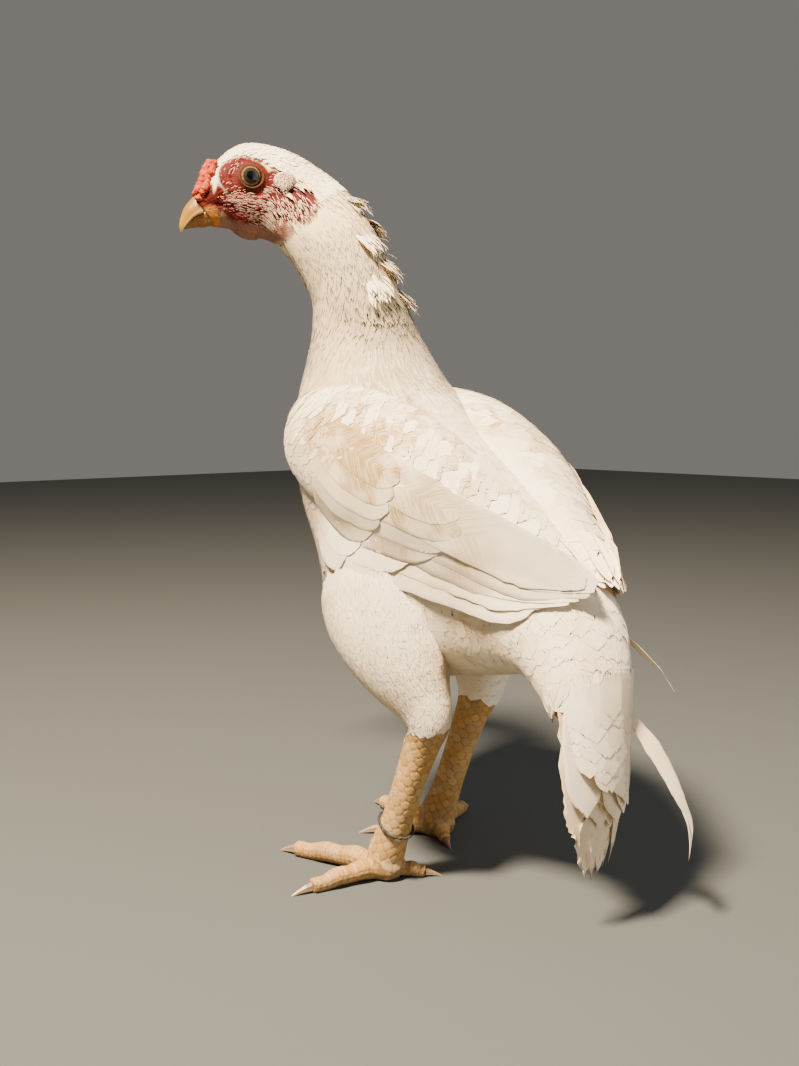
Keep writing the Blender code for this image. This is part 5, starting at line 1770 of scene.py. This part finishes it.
def nearest_two(places, centres, plates):
    """For each place: distance to the nearest plate, to the nearest other plate, and which."""
    near, other, plate = [], [], []
    for block in np.array_split(places, max(1, len(places) // 3000)):
        away = np.linalg.norm(block[:, None] - centres[None], axis=2)
        first = away.argmin(1)
        mine = plates[first]
        near.append(away.min(1))
        away[plates[None] == mine[:, None]] = 1.0
        other.append(away.min(1))
        plate.append(mine)
    return np.concatenate(near), np.concatenate(other), np.concatenate(plate)


def finish_nodes(look):
    """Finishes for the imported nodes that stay: eyeballs, claws and the leg ring."""
    claws = claw_finish()
    finishes = {f"eye_{name}": eye_finish(name, side, look) for name, side in SIDES}
    finishes["leg_ring"] = cord_finish()
    for name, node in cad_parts.items():
        finish = claws if name.startswith("claw_") else finishes.get(name)
        if finish:
            node.data.materials.clear()
            node.data.materials.append(finish)


def colour_property(name, description, default):
    """A colour that a user may change."""
    return bpy.props.FloatVectorProperty(
        name=name, description=description, default=default, subtype="COLOR", size=3, min=0, max=1
    )


class FowlLook(bpy.types.PropertyGroup):
    """The bird's colours and the sizes of its feathers."""

    feather_colour: colour_property("Feathers", "Clean white feather", (0.93, 0.82, 0.64))
    cream_colour: colour_property("Cream", "Feather where it is creamy or shaded", (0.78, 0.61, 0.39))
    dust_colour: colour_property("Dust", "Feather stained by soil", (0.37, 0.22, 0.070))
    face_colour: colour_property("Face", "Bare skin of the face", (0.045, 0.0018, 0.0010))
    cheek_colour: colour_property("Cheek", "Darkest bare skin", (0.052, 0.003, 0.004))
    throat_colour: colour_property("Throat", "Skin under the jaw", (0.25, 0.125, 0.085))
    comb_colour: colour_property("Comb", "Comb flesh", (0.30, 0.030, 0.009))
    horn_colour: colour_property("Upper beak", "Horn at the beak's base", (0.25, 0.115, 0.006))
    tip_colour: colour_property("Beak tip", "Horn at the upper beak's tip", (0.34, 0.19, 0.022))
    lower_colour: colour_property("Lower beak", "Horn of the lower half", (0.22, 0.085, 0.008))
    gape_colour: colour_property("Gape", "Horny skin behind the beak", (0.42, 0.16, 0.035))
    leg_colour: colour_property("Legs", "Scales of legs and feet", (0.42, 0.22, 0.055))
    iris_colour: colour_property("Iris", "Iris of the eyes", (0.012, 0.013, 0.011))
    head_feather: number_property("Head feather", "Length of the crown's feathers", 0.0052)
    bristle: number_property("Bristle", "Length of the cheek's bristles", 0.0046)
    hackle: number_property("Hackle", "Length of the neck's hackles", 0.0250)
    tuft: number_property("Nape tuft", "Length of the loose tufts on the nape", 0.0200)
    body_feather: number_property("Body feather", "Length of the trunk's feathers", 0.0300)
    thigh_feather: number_property("Thigh feather", "Length of the thighs' feathers", 0.0250)
    covert: number_property("Covert", "Length of the wing's small coverts", 0.0170)
    quill: number_property("Flight feather", "Breadth of the wing's flight feathers", 0.0200)
    tail_feather: number_property("Tail feather", "Breadth of the tail's feathers", 0.0180)


class FowlStage(bpy.types.PropertyGroup):
    """The floor and the light."""

    floor_size: number_property("Floor", "Side of the floor", 8.0, least=1.0)
    floor_colour: colour_property("Floor colour", "Colour of the floor", (0.085, 0.090, 0.088))
    key_power: number_property("Key light", "Power of the main light", 190.0, "POWER", 0.0)
    fill_power: number_property("Fill light", "Power of the weaker soft light", 9.0, "POWER", 0.0)
    sky_strength: number_property("Room", "Strength of the light from all round", 0.22, "NONE", 0.0)


def make_stage(stage):
    """A plain floor, two soft lights, a pale room and the camera at the photograph's angle."""
    half = stage.floor_size / 2
    corners = np.array([[-half, -half, 0], [half, -half, 0], [half, half, 0], [-half, half, 0.0]])
    mesh = bpy.data.meshes.new("floor")
    mesh.from_pydata(corners.tolist(), [], [(0, 1, 2, 3)])
    floor = bpy.data.objects.new("floor", mesh)
    bpy.context.scene.collection.objects.link(floor)
    made, _, shader = finish_of("floor_paint", 0.9)
    shader.inputs["Base Color"].default_value = (*stage.floor_colour, 1.0)
    mesh.materials.append(made)

    world = bpy.data.worlds.new("room")
    world.use_nodes = True
    background = world.node_tree.nodes["Background"]
    background.inputs["Color"].default_value = ROOM_COLOUR
    background.inputs["Strength"].default_value = stage.sky_strength
    bpy.context.scene.world = world

    turn = math.radians(CAMERA_TURN)
    look = np.array([-math.sin(turn), math.cos(turn), 0.0])
    right = np.array([math.cos(turn), math.sin(turn), 0.0])
    for name, colour, size, across, along, high in LIGHTS:
        light = bpy.data.lights.new(name, "AREA")
        light.energy = getattr(stage, f"{name}_power")
        light.size = size
        light.color = colour
        lamp = bpy.data.objects.new(name, light)
        place = LIT_PLACE + right * across + look * along + UPWARD * high
        lamp.matrix_world = aimed(place, LIT_PLACE)
        bpy.context.scene.collection.objects.link(lamp)

    camera = bpy.data.cameras.new("camera")
    camera.sensor_width = 36.0
    camera.lens = CAMERA_FOCUS / PHOTO_TALL * camera.sensor_width
    camera.clip_start = 0.01
    viewer = bpy.data.objects.new("camera", camera)
    viewer.location = np.array(CAMERA_PLACE) + SHIFT
    viewer.rotation_euler = (math.radians(90 - CAMERA_PITCH), 0.0, turn)
    bpy.context.scene.collection.objects.link(viewer)
    bpy.context.scene.camera = viewer


def aimed(place, target):
    """A lamp's matrix at a place with its -Z towards a target."""
    back = Vector(unit(np.asarray(place) - np.asarray(target)))
    turned = back.to_track_quat("Z", "Y").to_matrix().to_4x4()
    return Matrix.Translation(Vector(place)) @ turned


class FOWL_OT_skin(bpy.types.Operator):
    """Lay the one skin under the coat"""

    bl_idname = "aseel.skin"
    bl_label = "Skin"

    def execute(self, context):
        make_skin(context.scene.fowl_look)
        return {"FINISHED"}


class FOWL_OT_head(bpy.types.Operator):
    """Lay the head's short feathers, its bristles and the ear tufts"""

    bl_idname = "aseel.head"
    bl_label = "Head feathers"

    def execute(self, context):
        make_head_coat(context.scene.fowl_look)
        make_ears(context.scene.fowl_look)
        return {"FINISHED"}


class FOWL_OT_neck(bpy.types.Operator):
    """Lay the neck's hackles and the nape's tufts"""

    bl_idname = "aseel.neck"
    bl_label = "Neck hackles"

    def execute(self, context):
        make_neck_coat(context.scene.fowl_look)
        return {"FINISHED"}


class FOWL_OT_body(bpy.types.Operator):
    """Lay the trunk's feathers"""

    bl_idname = "aseel.body"
    bl_label = "Body feathers"

    def execute(self, context):
        make_body_coat(context.scene.fowl_look)
        return {"FINISHED"}


class FOWL_OT_thighs(bpy.types.Operator):
    """Lay the thighs' feathers"""

    bl_idname = "aseel.thighs"
    bl_label = "Thigh feathers"

    def execute(self, context):
        make_thigh_coat(context.scene.fowl_look)
        return {"FINISHED"}


class FOWL_OT_wings(bpy.types.Operator):
    """Lay the feathers of both folded wings"""

    bl_idname = "aseel.wings"
    bl_label = "Wings"

    def execute(self, context):
        for name, side in SIDES:
            make_wing(context.scene.fowl_look, name, side)
        return {"FINISHED"}


class FOWL_OT_tail(bpy.types.Operator):
    """Hang the tail's feathers"""

    bl_idname = "aseel.tail"
    bl_label = "Tail"

    def execute(self, context):
        make_tail(context.scene.fowl_look)
        return {"FINISHED"}


class FOWL_OT_comb(bpy.types.Operator):
    """Make the pea comb"""

    bl_idname = "aseel.comb"
    bl_label = "Comb"

    def execute(self, context):
        make_comb(context.scene.fowl_look)
        return {"FINISHED"}


class FOWL_OT_beak(bpy.types.Operator):
    """Make the beak's two halves"""

    bl_idname = "aseel.beak"
    bl_label = "Beak"

    def execute(self, context):
        make_beak(context.scene.fowl_look)
        return {"FINISHED"}


class FOWL_OT_legs(bpy.types.Operator):
    """Make both scaly legs"""

    bl_idname = "aseel.legs"
    bl_label = "Legs"

    def execute(self, context):
        for name, side in SIDES:
            make_leg(context.scene.fowl_look, name, side)
        return {"FINISHED"}


class FOWL_OT_nodes(bpy.types.Operator):
    """Finish the eyes, claws and leg ring"""

    bl_idname = "aseel.nodes"
    bl_label = "Eyes, claws and ring"

    def execute(self, context):
        finish_nodes(context.scene.fowl_look)
        return {"FINISHED"}


class FOWL_OT_stage(bpy.types.Operator):
    """Set the floor, the lights and the camera"""

    bl_idname = "aseel.stage"
    bl_label = "Stage"

    def execute(self, context):
        make_stage(context.scene.fowl_stage)
        return {"FINISHED"}


STEPS = (
    FOWL_OT_stage,
    FOWL_OT_skin,
    FOWL_OT_head,
    FOWL_OT_neck,
    FOWL_OT_body,
    FOWL_OT_thighs,
    FOWL_OT_wings,
    FOWL_OT_tail,
    FOWL_OT_comb,
    FOWL_OT_beak,
    FOWL_OT_legs,
    FOWL_OT_nodes,
)


class FOWL_PT_panel(bpy.types.Panel):
    """Lists the bird's colours and the steps that make it."""

    bl_label = "Aseel Fowl"
    bl_idname = "FOWL_PT_panel"
    bl_space_type = "VIEW_3D"
    bl_region_type = "UI"
    bl_category = "Aseel Fowl"

    def draw(self, context):
        for group in (context.scene.fowl_look, context.scene.fowl_stage):
            for title in group.__annotations__:
                self.layout.prop(group, title)
        for step in STEPS:
            self.layout.operator(step.bl_idname)


CLASSES = (FowlLook, FowlStage, *STEPS, FOWL_PT_panel)


def register():
    """Registers the classes and hangs the two groups on the scene."""
    for kind in CLASSES:
        bpy.utils.register_class(kind)
    bpy.types.Scene.fowl_look = bpy.props.PointerProperty(type=FowlLook)
    bpy.types.Scene.fowl_stage = bpy.props.PointerProperty(type=FowlStage)


def unregister():
    """Takes the groups and the classes away again."""
    del bpy.types.Scene.fowl_look
    del bpy.types.Scene.fowl_stage
    for kind in reversed(CLASSES):
        bpy.utils.unregister_class(kind)


def main():
    """Runs every step in order."""
    register()
    bpy.ops.aseel.stage()
    bpy.ops.aseel.skin()
    bpy.ops.aseel.head()
    bpy.ops.aseel.neck()
    bpy.ops.aseel.body()
    bpy.ops.aseel.thighs()
    bpy.ops.aseel.wings()
    bpy.ops.aseel.tail()
    bpy.ops.aseel.comb()
    bpy.ops.aseel.beak()
    bpy.ops.aseel.legs()
    bpy.ops.aseel.nodes()


if __name__ == "__main__":
    main()
